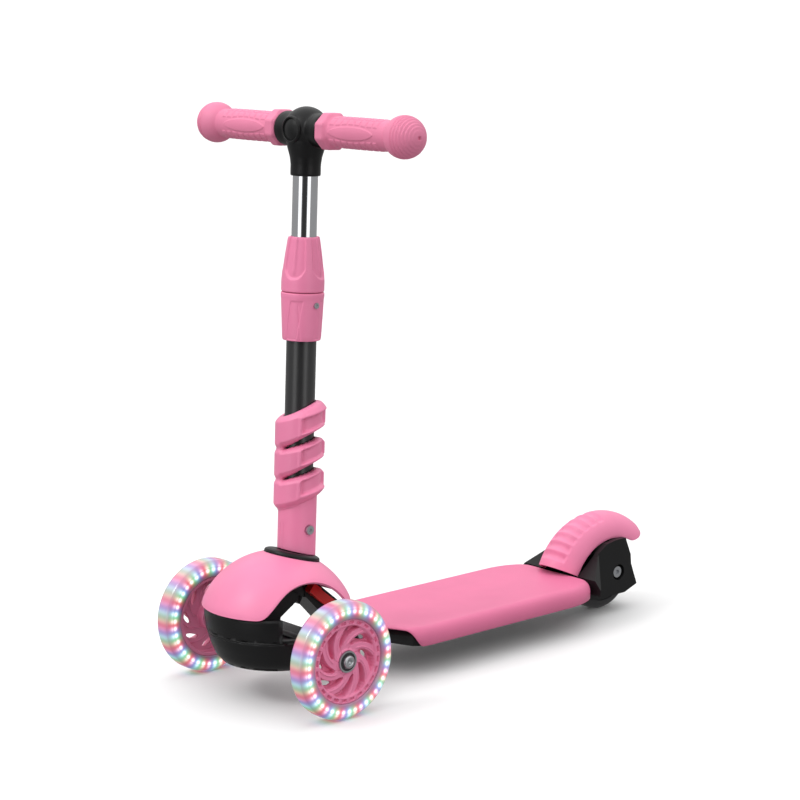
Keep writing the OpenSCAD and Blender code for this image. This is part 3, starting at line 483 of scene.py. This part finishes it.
def wheel_centre(name, centre, side, body, stands_for):
    """Two polar height fields joined at the bore and the rim."""
    r = np.concatenate([[11.0], np.linspace(11.4, 42.2, 66), [RIM_R]])
    a = np.linspace(0, 360, 577)
    radius, angle = np.meshgrid(r, a, indexing="ij")
    top, bottom, hole = hub_faces(radius, angle)
    top[0], top[-1] = top[1] - 0.3, top[-2] - 0.5
    bottom[0], bottom[-1] = bottom[1] + 0.3, bottom[-2] + 0.5
    cos, sin = np.cos(np.radians(angle)), np.sin(np.radians(angle))
    faces = [np.stack([radius * cos, radius * sin, h], -1) for h in (top, bottom)]
    wall = np.stack([faces[0][[0, -1]], faces[1][[0, -1]]], 1)
    sheets = faces + [wall[0], wall[1]]
    corners = hole[:-1, :-1] & hole[1:, :-1] & hole[1:, 1:] & hole[:-1, 1:]
    all_of = np.ones((1, len(a) - 1), bool)
    sheets = [wheel_place(s, centre, side) for s in sheets]
    return build(name, sheets, body, PINK, stands_for, keep=[~corners, ~corners, all_of, all_of])


wheel_centre("left_wheel_centre", WHEEL_L, 1, "front_left_wheel", ["front_left_hub"])
wheel_centre("right_wheel_centre", WHEEL_R, -1, "front_right_wheel", ["front_right_hub"])

# %% [markdown]
# ## Steel at the wheel centres
# In the middle of each front wheel sits a sealed bearing: two steel rings with a dark seal between them, and
# a domed bolt head with a six-sided socket in front of it. The CAD bearing is right in size, so it
# stays, and a seal and a head with round edges are laid over it.


# %% Bearing seals and bolt heads
def axle_cap(label, centre, side):
    """A domed head with a six-sided socket: the socket's radius follows the distance to a hexagon's sides."""
    a = np.linspace(0, 360, 97)
    hexagon = 2.7 * np.cos(np.radians(30)) / np.cos(np.radians((a % 60) - 30))
    rings = [(hexagon * 0, 11.6), (hexagon, 11.6), (hexagon, 13.2), (hexagon + 0.4, 13.7),
             (hexagon * 0 + 4.4, 14.0), (hexagon * 0 + 5.6, 13.6), (hexagon * 0 + 6.4, 12.7),
             (hexagon * 0 + 6.6, 11.6), (hexagon * 0 + 6.6, 10.7), (hexagon * 0, 10.7)]
    sheet = np.stack([np.stack([r * np.cos(np.radians(a)), r * np.sin(np.radians(a)), r * 0 + h], -1)
                      for r, h in rings])
    return build(f"{label}_axle_head", [wheel_place(sheet, centre, side)], "carriage", ZINC,
                 [f"front_{label}_axle"])


def seal(label, centre, side):
    """A turned ring that fills the bearing's face between its two steel rings."""
    profile = rounded([[9.3, 10.3], [9.3, 10.75], [7.0, 10.75], [7.0, 10.3], [9.3, 10.3]], 0.2)
    return build(f"{label}_bearing_seal", [wheel_place(turned(profile, TURN), centre, side)], f"front_{label}_wheel",
                 RUBBER)


for label, centre, side in (("left", WHEEL_L, 1), ("right", WHEEL_R, -1)):
    axle_cap(label, centre, side)
    seal(label, centre, side)

# %% [markdown]
# ## The spiral sleeve
# Around the foot of the stem goes a springy-looking sleeve: three leaning bands, with slots between them on one
# side and a shallow pocket in each band. It is a height field round the stem. The lower edge is a sine
# of the angle, so every row of the grid leans like the real one, and a slot is where the outer
# surface falls back to the inner one and the quads are dropped.


# %% Spiral sleeve
BAND = 30.4
SLEEVE_RISE = 92.5


def sleeve_radius(angle, rise):
    """Outer radius at an angle round the stem and a height above the leaning lower edge, and the slot mask."""
    within = np.mod(rise, BAND)
    between = np.where((rise < BAND * 0.5) | (rise > BAND * 2.5), 0, 1)
    gap = 1.2 + 3.6 * soft_step(angle, 0, 120)
    edge = np.minimum(within, BAND - within)
    has_gap = window(angle, -2, 196, 10) * between
    slot = (edge < gap) & (has_gap > 0.5)
    shoulder = np.sqrt(np.clip((edge - gap) / 5.0, 0, 1))
    groove = 1 - (1 - shoulder) * between
    soft = has_gap * (0.72 + 0.28 * groove) + (1 - has_gap) * (0.93 + 0.07 * soft_step(edge, 0, 5))
    end = np.minimum(rise, SLEEVE_RISE - rise)
    cap = np.sqrt(np.clip(end / 6.0, 0, 1)) * 0.3 + 0.7
    flare = 24.6 + 1.9 * window(angle, 70, 170, 60)
    pocket = window(angle, 58, 150, 7) * window(within, 9.5, 22.5, 3.5)
    lip = 0.8 * window(angle, 50, 158, 8) * window(within, 6.5, 25.5, 3.0) * (1 - pocket)
    radius = flare * np.minimum(soft, cap) - 3.4 * pocket + lip
    return np.maximum(radius, 17.0), slot


def spiral_sleeve():
    """Outer and inner surface on one grid, joined along the top and bottom edges."""
    a = np.linspace(-180, 180, 241)
    t = np.linspace(0, SLEEVE_RISE, 150)
    rise, angle = np.meshgrid(t, a, indexing="ij")
    shifted = np.where(angle < -20, angle + 360, angle)
    radius, slot = sleeve_radius(shifted, rise)
    inner = np.full_like(radius, 16.2)
    inner = np.where(rise < 12, 20.0, inner)
    radius = np.maximum(radius, inner + 0.4)
    radius = np.where(slot, inner, radius)
    s = 95.6 + 8.5 * np.sin(np.radians(angle - 48)) + rise * 1.045
    lines = [on_stem(r * np.cos(np.radians(angle)), r * np.sin(np.radians(angle)), s) for r in (radius, inner)]
    caps = [np.stack([lines[0][k], lines[1][k]]) for k in (0, -1)]
    corners = slot[:-1, :-1] & slot[1:, :-1] & slot[1:, 1:] & slot[:-1, 1:]
    row = np.ones((1, len(a) - 1), bool)
    return build("spiral_sleeve", lines + caps, "carriage", PINK, ["spiral_cover"],
                 keep=[~corners, ~corners, row, row])


spiral_sleeve()

# %% [markdown]
# ## Clamp collars
# Two pink collars hold the sliding tube. The lower one is fixed and has flat, angled facets with a thin raised
# edge. The upper one turns by hand, so it has arched hollows for the fingers with a rib up the middle.
# Both are turned shapes whose radius is trimmed by windows of angle and height.


# %% Clamp collars
def wrapped(name, outline, trim, inner, body, material, stands_for, rows=110, cols=241):
    """A tube on the stem. outline is (radius, height) from the bottom up, trim(angle, height) is taken off the
    radius, and inner is (radius, height) from the top down. All four borders are joined."""
    outline = np.array(outline, float)
    reach = np.concatenate([[0], np.cumsum(np.linalg.norm(np.diff(outline, axis=0), axis=1))])
    t = np.linspace(0, reach[-1], rows)
    r = np.interp(t, reach, outline[:, 0])
    s = np.interp(t, reach, outline[:, 1])
    a = np.linspace(0, 360, cols)
    radius, angle = np.meshgrid(r, a, indexing="ij")
    height = np.broadcast_to(s[:, None], radius.shape)
    radius = radius - trim(angle, height)
    outer = on_stem(radius * np.cos(np.radians(angle)), radius * np.sin(np.radians(angle)), height)
    inner = np.array(inner, float)
    x = inner[:, :1] * np.cos(np.radians(a))
    y = inner[:, :1] * np.sin(np.radians(a))
    hollow = on_stem(x, y, np.broadcast_to(inner[:, 1:], x.shape))
    top = np.stack([outer[-1], hollow[0]])
    bottom = np.stack([hollow[-1], outer[0]])
    return build(name, [outer, top, hollow, bottom], body, material, stands_for)


def facets(angle, height):
    """Two slanted flats on each quarter, with a shallow step where they meet."""
    turn = (angle + 12) % 90
    lean = turn - (height - 262.5) * 0.45
    flat = window(lean, 10, 46, 2.0) * window(height, 264, 303, 2.0)
    notch = window(turn + (height - 262.5) * 0.2, 56, 60, 1.5) * window(height, 264, 300, 3)
    return 0.75 * flat + 0.35 * notch


def hollows(angle, height):
    """Four arched hollows, open at the top, each with a rib up its middle, and a fine line at the foot."""
    turn = ((angle + 22) % 90) - 45
    arch = 324 + 9.5 * (np.abs(turn) / 33) ** 2.6
    hollow = window(turn, -33, 33, 5) * soft_step(height, arch, arch + 3.0)
    rib = np.exp(-(turn / 5.0) ** 2) * soft_step(height, 326, 334)
    return 1.7 * hollow * (1 - 0.8 * rib)


LOW = rounded([[18.0, 262.5], [19.2, 262.5], [19.8, 266], [21.6, 304], [22.0, 307.0], [22.0, 310.4],
               [20.6, 311.0], [18.0, 311.0]], 0.8)
wrapped("lower_clamp", LOW, facets, [[15.4, 311.0], [15.4, 262.5]], "carriage", PINK,
        ["lower_collar"])
HIGH = rounded([[18.0, 311.6], [21.2, 311.6], [21.8, 312.6], [21.8, 322.0], [21.1, 331.0], [18.6, 350.0],
                [16.4, 364.4], [15.6, 366.7], [14.2, 366.7]], 1.0)
wrapped("twist_clamp", HIGH, hollows, [[13.2, 366.7], [13.2, 355.0], [17.6, 336.0], [17.6, 311.6]], "twist_collar",
        PINK, ["twist_collar"])

# %% [markdown]
# ## Stem socket
# The pink sleeve under the spiral is cut at a slant, so that it stands on the cover's crown. A raised seam
# runs up its front, and a recess holds the bolt head. The lower edge follows a plane, so its height is
# worked out for every angle.


# %% Stem socket
SOCKET_R, SOCKET_TOP, BOLT_S = 19.7, 104.0, 69.5


def stem_socket():
    """A tube whose lower edge lies on a slanted plane: height = base - slope x forward distance."""
    a = np.linspace(0, 360, 241)
    t = np.linspace(0, 1, 90)
    share, angle = np.meshgrid(t, a, indexing="ij")
    cos, sin = np.cos(np.radians(angle)), np.sin(np.radians(angle))
    foot = 43.4 + 4.9 * cos
    s = foot + share * (SOCKET_TOP - foot)
    near_seam = np.abs(((angle + 180) % 360) - 180) * SOCKET_R * np.pi / 180
    radius = SOCKET_R - 0.6 * np.exp(-((near_seam - 2.6) / 0.5) ** 2) * soft_step(77 - s, 0, 3)
    bolt = np.hypot((angle - 90) * SOCKET_R * np.pi / 180, s - BOLT_S)
    radius = radius - 1.0 * soft_step(5.6 - bolt, 0, 0.7)
    edge = np.minimum(s - foot, SOCKET_TOP - s)
    radius = radius - 0.8 * (1 - np.sqrt(1 - (1 - np.clip(edge / 0.8, 0, 1)) ** 2))
    outer = on_stem(radius * cos, radius * sin, s)
    inner = on_stem(15.45 * cos, 15.45 * sin, s)
    ends = [np.stack([outer[k], inner[k]]) for k in (0, -1)]
    return build("stem_socket_sleeve", [outer, inner] + ends, "carriage", PINK, ["stem_socket"])


stem_socket()

# %% [markdown]
# ## Grips
# Each grip is one soft moulding on the crossbar: a flange with eight sides, a barrel with rows of raised pads and a
# pointed oval, and a ball at the end with fine rings turned into its outer half. The whole grip is a
# height field along the bar and round it. The oval stays plain.


# %% Grips
GRIP_START, BALL_AT, BALL_R = 32.1, 146.0, 21.0


def grip_radius(along, angle):
    """Radius at a distance along the bar from its middle and an angle round it, 0 facing forwards, and the
    share of the vent hole at the ball's end."""
    octagon = 19.6 * np.cos(np.radians(22.5)) / np.cos(np.radians(((angle + 22.5) % 45) - 22.5))
    octagon = np.minimum(octagon, 19.2)
    barrel = 14.7 + 0.35 * np.cos((along - 85) / 45 * np.pi / 2)
    r = barrel + (octagon - barrel) * (1 - soft_step(along, 43.2, 48.5))
    r = r - (r - 15.2) * (1 - soft_step(along, 32.2, 34.2)) * 0.55
    face = np.abs(((angle + 90) % 180) - 90)
    arc = np.radians(face) * barrel
    middle = np.abs(along - 83)
    oval = 6.6 * np.sqrt(np.clip(1 - (middle / 33) ** 2, 0, 1)) * (1 - 0.25 * (middle / 33) ** 4)
    on_oval = soft_step(oval - arc, 0, 0.9)
    rim = np.exp(-((oval - arc - 0.3) / 0.55) ** 2) * (middle < 33.5)
    pad_row = window((along - 49) % 9.2, 1.2, 8.2, 1.2) * window(along, 49.5, 120, 2)
    pads = pad_row * window(arc, np.maximum(oval + 2.2, 7.2), 14.4, 1.2)
    pads = pads + pad_row * window(arc, 15.6, 22.0, 1.2)
    r = r + 0.65 * on_oval + 0.3 * rim + 0.75 * pads
    run = np.clip(along - BALL_AT, -BALL_R, BALL_R)
    sphere = np.sqrt(np.clip(BALL_R**2 - run**2, 0, None))
    polar = np.degrees(np.arctan2(sphere, run))
    rings = (0.5 - 0.5 * np.cos(polar / 10.0 * 2 * np.pi)) ** 1.5 * window(polar, 22, 88, 4)
    sphere = sphere - 1.1 * rings * np.sin(np.radians(polar))
    hole = 1 - soft_step(polar, 3.5, 6.0)
    return np.maximum(r * (along < 140), sphere * (along > 120)), hole


def grip(name, side, stands_for):
    """The outer height field, closed by a bore along the bar."""
    along = np.concatenate([np.linspace(GRIP_START, 48, 26), np.linspace(48.4, 124, 150),
                            BALL_AT - BALL_R * np.cos(np.radians(np.linspace(12, 180, 110)))])
    along = np.unique(along.round(4))
    along = along[along <= BALL_AT + BALL_R]
    a = np.linspace(0, 360, 193)
    distance, angle = np.meshgrid(along, a, indexing="ij")
    radius, hole = grip_radius(distance, angle)
    distance = distance - 2.2 * hole * (distance > 160)
    radius = np.where(np.arange(len(along))[:, None] == len(along) - 1, 0, radius)
    cos, sin = np.cos(np.radians(angle)), np.sin(np.radians(angle))
    outer = on_stem(radius * cos, side * distance, BAR_S + radius * sin)
    bore = np.array([[11.3, GRIP_START], [11.3, 140.5], [0.0, 140.5]])
    x, z = bore[:, :1] * np.cos(np.radians(a)), bore[:, :1] * np.sin(np.radians(a))
    inner = on_stem(x, side * np.broadcast_to(bore[:, 1:], x.shape), BAR_S + z)
    mouth = np.stack([outer[0], inner[0]])
    return build(name, [outer, mouth, inner], "handlebar", GRIP, stands_for)


BAR_Z = float(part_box("crossbar")[0].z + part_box("crossbar")[1].z) / 2 / MM
BAR_S = (BAR_Z - STEM[2]) / UP[2]
grip("left_grip", 1, ["grip_left"])
grip("right_grip", -1, ["grip_right"])
print("bar axis", round(BAR_S, 1), "mm up the stem")

# %% [markdown]
# ## T joint
# The black joint is one casting in which the neck, the cross sleeve and the middle ball run into each other. Three
# turned shapes are put together, and a voxel remesh with some smoothing melts them into one skin with
# the soft fillets of a casting.


# %% T joint
def t_joint():
    """The neck, the sleeve and the ball as turned shapes in one mesh, melted together by a remesh."""
    neck = rounded([[0, 427.2], [14.8, 427.2], [15.3, 428.2], [15.2, 438], [16.2, 446], [18.6, 454], [20.5, 462],
                    [0, 466]], 1.5)
    n = turned(neck, TURN)
    b = np.radians(np.linspace(-90, 90, 60))
    ball = turned(np.stack([22.9 * np.cos(b), 22.9 * np.sin(b)], -1), TURN)
    s = turned(rounded([[0, -31.6], [16.6, -31.6], [17.3, -30.6], [17.3, -26], [16.6, -20], [16.6, 20], [17.3, 26],
                        [17.3, 30.6], [16.6, 31.6], [0, 31.6]], 0.8), TURN)
    sheets = [on_stem(n[..., 0], n[..., 1], n[..., 2]),
              on_stem(ball[..., 0], ball[..., 1], BAR_S + ball[..., 2]),
              on_stem(s[..., 0], s[..., 2], BAR_S + s[..., 1])]
    piece = build("t_joint_skin", sheets, "handlebar", BLACK, ["tee_joint", "tee_cap", "tee_screw"])
    melt = piece.modifiers.new("melt", "REMESH")
    melt.mode, melt.voxel_size, melt.use_smooth_shade = "VOXEL", 0.0009, True
    ease = piece.modifiers.new("ease", "SMOOTH")
    ease.factor, ease.iterations = 0.5, 7
    return piece


t_joint()


def joint_plug():
    """A turned plug, facing forwards, with a rim and a shallow dish."""
    p = turned(rounded([[0, 18], [10.2, 18.5], [11.2, 21.2], [12.0, 21.7], [13.0, 21.3], [13.7, 20.0], [13.7, 15],
                        [0, 15]], 0.5), TURN)
    return build("t_joint_plug", [on_stem(p[..., 2], p[..., 0], BAR_S + p[..., 1])], "handlebar", BLACK)


joint_plug()

# %% [markdown]
# ## Domed cover
# The cover is part of a ball. Seen from its crown, each ray runs down the ball until it meets the level lip or one
# of the two side arches. The distance is found for every ray at once, smoothed a little so that the
# arch flows into the lip, and the shell gets its wall from a Solidify modifier.

# %% Domed cover
DOME = np.array([AXLE_X - 6, 0, 65.3])
DOME_R = 82.4
TILT = np.arcsin((DOME[0] - STEM[0]) / DOME_R) - np.radians(2.1)
CROWN_HOLE = np.radians(20.9)
LIP_Z, ARCH_R, ARCH_Z = 96, 56, 71
print("crown tilts back by", np.degrees(TILT).round(1), "degrees")


def tilted(x, y, z):
    """Turns crown axes, whose Z is the crown, back by the tilt."""
    return np.stack([x * np.cos(TILT) - z * np.sin(TILT), y, x * np.sin(TILT) + z * np.cos(TILT)], -1)


def dome_point(alpha, phi, radius):
    """A point at the angle alpha from the crown, in the direction phi round it."""
    radius = np.asarray(radius)[..., None]
    x, y, z = np.sin(alpha) * np.cos(phi), np.sin(alpha) * np.sin(phi), np.cos(alpha)
    return DOME + radius * tilted(x, y, z)


def smooth_round(values, width):
    """Runs a bell-shaped average round a closed row of values."""
    kernel = np.exp(-0.5 * (np.arange(-3 * width, 3 * width + 1) / width) ** 2)
    wrapped_round = np.concatenate([values[-3 * width:], values, values[:3 * width]])
    return np.convolve(wrapped_round, kernel / kernel.sum(), "valid")


def domed_cover():
    """Rays from the crown hole to the first place below the lip or inside an arch."""
    phi = np.radians(np.arange(0, 360, 0.75))
    alpha = np.linspace(CROWN_HOLE, np.radians(100), 900)
    p = dome_point(alpha[:, None], phi[None], DOME_R)
    arch = np.hypot(p[..., 0] - AXLE_X + 2, p[..., 2] - ARCH_Z) - ARCH_R
    lip = p[..., 2] - LIP_Z
    clear = np.minimum(np.where(np.abs(p[..., 1]) > 20, arch, 99), lip) > 0
    reach = alpha[np.argmin(clear, axis=0)]
    reach = smooth_round(reach, 5)
    phi, reach = np.append(phi, phi[0] + 2 * np.pi), np.append(reach, reach[0])
    t = 1 - (1 - np.linspace(0, 1, 70)) ** 1.3
    a = CROWN_HOLE + t[:, None] * (reach - CROWN_HOLE)
    near_lip = np.exp(-((reach - a) / np.radians(2.2)) ** 2)
    sheet = dome_point(a, np.broadcast_to(phi, a.shape), DOME_R - 0.5 * near_lip)
    piece = build("domed_cover", [sheet], "carriage", PINK, ["front_cover"])
    wall = piece.modifiers.new("wall", "SOLIDIFY")
    wall.thickness, wall.offset = 2.8 * MM, -1
    edge = piece.modifiers.new("edge", "BEVEL")
    edge.width, edge.segments, edge.angle_limit = 0.9 * MM, 3, math.radians(50)
    return piece


domed_cover()


def crown_ring():
    """The black washer under the socket: a turned ring on the crown with a soft upper edge, over the dome."""
    profile = rounded([[14.0, 80.4], [14.4, 82.4], [25.5, 81.9], [28.4, 80.4], [29.0, 78.4], [28.6, 75.8],
                       [27.0, 76.0], [14.0, 79.4], [14.0, 80.4]], 0.7)
    a = np.radians(TURN)
    r, h = profile[:, :1], profile[:, 1:]
    x, y, z = r * np.cos(a), r * np.sin(a), h * np.ones_like(a)
    return build("crown_ring", [DOME + tilted(x, y, z)], "carriage", BLACK, ["stem_ring"])


crown_ring()

# %% [markdown]
# ## Deck
# The deck is a shallow tray turned upside down: straight sides, a rounded front and back, and a soft upper edge.
# Its outline is a smooth closed curve. The skin runs from the inner lip, round the foot of the skirt, up the
# side, over the edge and in to the middle line, and comes back under the top.

# %% Deck
DECK_FRONT = AXLE_X - 121.0
DECK_BACK = WHEEL_B[0] + 62.0
DECK_TOP, DECK_UNDER, DECK_FOOT = 54, 51.2, 34.2
FRONT_RISE, EDGE_R = 16.6, 9.0


def deck_outline(count=401):
    """A smooth closed outline through half of its corners, mirrored. Returns x and y."""
    half = [[DECK_FRONT, 0], [DECK_FRONT, 20], [DECK_FRONT - 1, 29], [DECK_FRONT - 8, 46], [DECK_FRONT - 15, 60],
            [DECK_FRONT - 22, 67], [DECK_FRONT - 33, 69.8], [DECK_FRONT - 50, 70], [DECK_FRONT - 100, 70],
            [DECK_FRONT - 160, 70], [DECK_BACK + 60, 70], [DECK_BACK + 40, 69], [DECK_BACK + 22, 64.5],
            [DECK_BACK + 8, 56.5], [DECK_BACK + 1, 46], [DECK_BACK, 36], [DECK_BACK, 18], [DECK_BACK, 0]]
    whole = np.array(half + [[x, -y] for x, y in half[-2:0:-1]] + [half[0]])
    closed = spline(whole, count * 4)
    reach = np.concatenate([[0], np.cumsum(np.linalg.norm(np.diff(closed, axis=0), axis=1))])
    even = np.linspace(0, reach[-1], count)
    return np.stack([np.interp(even, reach, closed[:, k]) for k in (0, 1)], -1)


def deck_skin():
    """Rows of the outline, moved in by an inset and set at a height. The last rows shrink to the middle line."""
    line = deck_outline()
    step = np.roll(line[:-1], -1, 0) - np.roll(line[:-1], 1, 0)
    normal = np.stack([step[:, 1], -step[:, 0]], -1)
    normal /= np.linalg.norm(normal, axis=1)[:, None]
    normal = np.vstack([normal, normal[:1]])
    middle = np.stack([np.clip(line[:, 0], DECK_BACK + 60, DECK_FRONT - 60), line[:, 1] * 0], -1)
    a = np.radians(np.linspace(0, 90, 12))
    front = np.clip((line[:, 0] - DECK_FRONT + 26) / 14, 0, 1)
    front = front * front * (3 - 2 * front)
    skirt = DECK_FOOT + FRONT_RISE * front
    rows = [(3.2, 0.8), (1.0, 0), (0.0, 0.8)]
    outer = [np.column_stack([line - normal * inset, skirt + up]) for inset, up in rows]
    height = np.maximum(skirt + 1.0, 42.5)
    edge = [np.column_stack([line - normal * EDGE_R * (1 - np.cos(t)), height + (DECK_TOP - height) * np.sin(t)])
            for t in a]
    rim = line - normal * EDGE_R
    flat = 0 * skirt
    top = [np.column_stack([rim + (middle - rim) * k, DECK_TOP + flat]) for k in np.linspace(0.02, 1, 12) ** 1.2]
    under = [np.column_stack([rim + (middle - rim) * k, DECK_UNDER + flat]) for k in np.linspace(1, 0.05, 6)]
    inner = [np.column_stack([line - normal * 5.0, np.maximum(skirt + 1.2, 44.0)])]
    sheets = [np.stack(outer + edge + top), np.stack(under + inner + outer[:1])]
    return build("deck_skin", sheets, "deck", DECK_PINK, ["deck_shell"])


DECK_PINK = moulded("deck_plastic", (0.73, 0.172, 0.325), 0.46, grain=4200, depth=0.12, shade=0.03, specular=0.35)
deck_skin()

# %% [markdown]
# ## Rear fender
# The fender is half of a ring-shaped tube, with ribs across its front and top that make it stiff where the heel
# presses it. Radius and thickness are functions of the angle along the ring and round the tube.


# %% Rear fender
RING_R, TUBE_R = 63, 27.0


def fender_skin():
    """Half a torus: x = (RING_R + r cos(around)) cos(along) and z = (RING_R + r cos(around)) sin(along). The tube's
    radius r is TUBE_R, less seven cross ribs sunk between two rails, and the tail is cut round."""
    along, around = np.meshgrid(np.radians(np.linspace(26, 135, 220)), np.radians(np.linspace(-90, 90, 97)),
                                indexing="ij")
    degree = np.degrees(along)
    around = around * np.sqrt(1 - (np.clip(degree - 117, 0, 18) / 19.4) ** 2)
    rib = 0.5 - 0.5 * np.cos((degree - 31) / 8.0 * 2 * np.pi)
    field = window(degree, 31, 87, 3) * window(np.degrees(around), -40, 40, 8)
    tail = soft_step(degree, 129, 135) * 1.2
    r = TUBE_R - 2.2 * field * rib ** 0.7 - tail - 0.4 * soft_step(np.abs(np.degrees(around)), 86, 90)
    x = (RING_R + r * np.cos(around)) * np.cos(along)
    z = (RING_R + r * np.cos(around)) * np.sin(along)
    outer = np.stack([WHEEL_B[0] + 2 + x, r * np.sin(around), 24 + z], -1)
    piece = build("fender_skin", [outer], "fender", PINK, ["fender"], recalc=False)
    wall = piece.modifiers.new("wall", "SOLIDIFY")
    wall.thickness, wall.offset = 2.6 * MM, 1
    edge = piece.modifiers.new("edge", "BEVEL")
    edge.width, edge.segments, edge.angle_limit = 0.8 * MM, 3, math.radians(50)
    return piece


fender_skin()

# %% [markdown]
# ## Latch spring
# The spring behind the latch rod shortens when the red slider is drawn back. It gets its own coil, which rides
# on the neck and keeps its length.


# %% Latch spring
def latch_coil(radius=1.7, wire=0.5, turns=7, length=10.6):
    """A helix along the latch's own axis, swept by a circle whose last rows close to a point."""
    axis = np.array(joints["latch_release"]["axis"])
    across = np.cross(LEFT, axis)
    middle = np.array(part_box("latch_spring")[0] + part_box("latch_spring")[1]) / 2 / MM
    t = np.linspace(0, 1, 240)[:, None]
    turn = 2 * np.pi * turns * t
    out = np.cos(turn) * LEFT + np.sin(turn) * across
    path = middle + (t - 0.5) * (length - 2 * wire) * axis + (radius - wire / 2) * out
    a = np.radians(np.linspace(0, 360, 13))[None, :, None]
    size = np.where((t > 0) & (t < 1), wire / 2, 0)[:, None]
    ring = np.cos(a) * out[:, None] + np.sin(a) * axis
    coil = build("latch_coil", [path[:, None] + size * ring], "neck", ZINC, ["latch_spring"])
    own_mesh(coil)


latch_coil()

# %% [markdown]
# ## Softer edges on the plain mouldings
# The chassis, neck, fork, frame and slider keep their CAD shape. A moulding never has a knife edge, so their triangles
# are welded and each sharp edge gets a small bevel, which catches the light.

# %% Softer edges
for name in ("front_chassis", "neck", "rear_fork", "deck_frame", "release_slider"):
    seam = nodes[name].modifiers.new("weld", "WELD")
    seam.merge_threshold = 2e-6
    edge = nodes[name].modifiers.new("edge", "BEVEL")
    width = 2.0 if name == "rear_fork" else 0.8
    edge.width, edge.segments, edge.angle_limit = width * MM, 3, math.radians(32)
    edge.harden_normals = True
print("five plain mouldings have soft edges")

# %% [markdown]
# ## Floor, light and camera
# A pale floor gives the soft shadow of a studio table. It is kept out of reflections and bounced light, so the
# round parts keep their dark undersides.

# %% Floor
bpy.ops.mesh.primitive_plane_add(size=400, location=(0, 0, 0))
floor = bpy.context.object
floor.name = "floor"
FLOOR = moulded("floor_paper", (0.88, 0.88, 0.88), 0.9, depth=0.01, shade=0.0, gloss=0.02)
floor.data.materials.append(FLOOR)
floor.visible_diffuse = floor.visible_glossy = False

# %% [markdown]
# The sky is bright above and dim at the horizon. A dark patch behind the viewer and two tall bright strips
# beside it are what the chrome and the black tubes mirror: a dark streak with bright edges. Seen straight,
# the sky is at least white.

# %% Light
bpy.context.scene.view_settings.view_transform = "Standard"
VIEW_SIDE = (0.6676, 0.7445, 0.0)
STRIPS = ((0.05, 0.9987, 0.0), (0.9945, 0.1045, 0.0))


def sky():
    """Radiance from a direction: a vertical ramp, times a dark patch, plus two soft vertical strips."""
    world = bpy.data.worlds.new("sky")
    bpy.context.scene.world = world
    world.use_nodes = True
    tree = world.node_tree
    new, link = tree.nodes.new, tree.links.new
    way = new("ShaderNodeTexCoord")
    split = new("ShaderNodeSeparateXYZ")
    link(way.outputs["Generated"], split.inputs[0])

    def ramp(value, low, high, start, end):
        node = new("ShaderNodeMapRange")
        node.interpolation_type = "SMOOTHSTEP"
        for k, number in enumerate((low, high, start, end)):
            node.inputs[k + 1].default_value = number
        link(value, node.inputs[0])
        return node.outputs[0]

    def maths(kind, one, two):
        node = new("ShaderNodeMath")
        node.operation = kind
        link(one, node.inputs[0])
        link(two, node.inputs[1])
        return node.outputs[0]

    def towards(direction):
        node = new("ShaderNodeVectorMath")
        node.operation = "DOT_PRODUCT"
        node.inputs[1].default_value = direction
        link(way.outputs["Generated"], node.inputs[0])
        return node.outputs["Value"]

    high = ramp(split.outputs["Z"], -0.15, 1.0, 0.4, 1.55)
    patch = ramp(towards(VIEW_SIDE), 0.86, 0.97, 1.0, 0.12)
    total = maths("MULTIPLY", high, patch)
    for strip in STRIPS:
        total = maths("ADD", total, ramp(towards(strip), 0.95, 0.985, 0.0, 1.5))
    straight = new("ShaderNodeLightPath").outputs["Is Camera Ray"]
    tree.nodes["Background"].inputs["Color"].default_value = (1, 1, 1, 1)
    link(maths("MAXIMUM", total, straight), tree.nodes["Background"].inputs["Strength"])


def lamp(name, place, size, power):
    """A square area lamp that looks at the middle of the scooter."""
    data = bpy.data.lights.new(name, "AREA")
    data.shape, data.size, data.energy = "SQUARE", size, power
    item = bpy.data.objects.new(name, data)
    item.location = place
    item.rotation_euler = (Vector((0, 0, 0.25)) - Vector(place)).to_track_quat("-Z", "Y").to_euler()
    bpy.context.scene.collection.objects.link(item)
    return item


sky()
lamp("key", (2.4, -0.6, 2.4), 0.9, 24)

# %% Camera
TARGET = Vector((AXLE_X * MM - 0.1756, 0, 0.28315))
BACK = Vector((0.6563, 0.7314, 0.1853)).normalized()
camera = bpy.data.objects.new("camera", bpy.data.cameras.new("camera"))
bpy.context.scene.collection.objects.link(camera)
camera.location = TARGET + BACK * 2.4105
camera.rotation_euler = (-BACK).to_track_quat("-Z", "Y").to_euler()
camera.data.lens = 102.92
bpy.context.scene.camera = camera
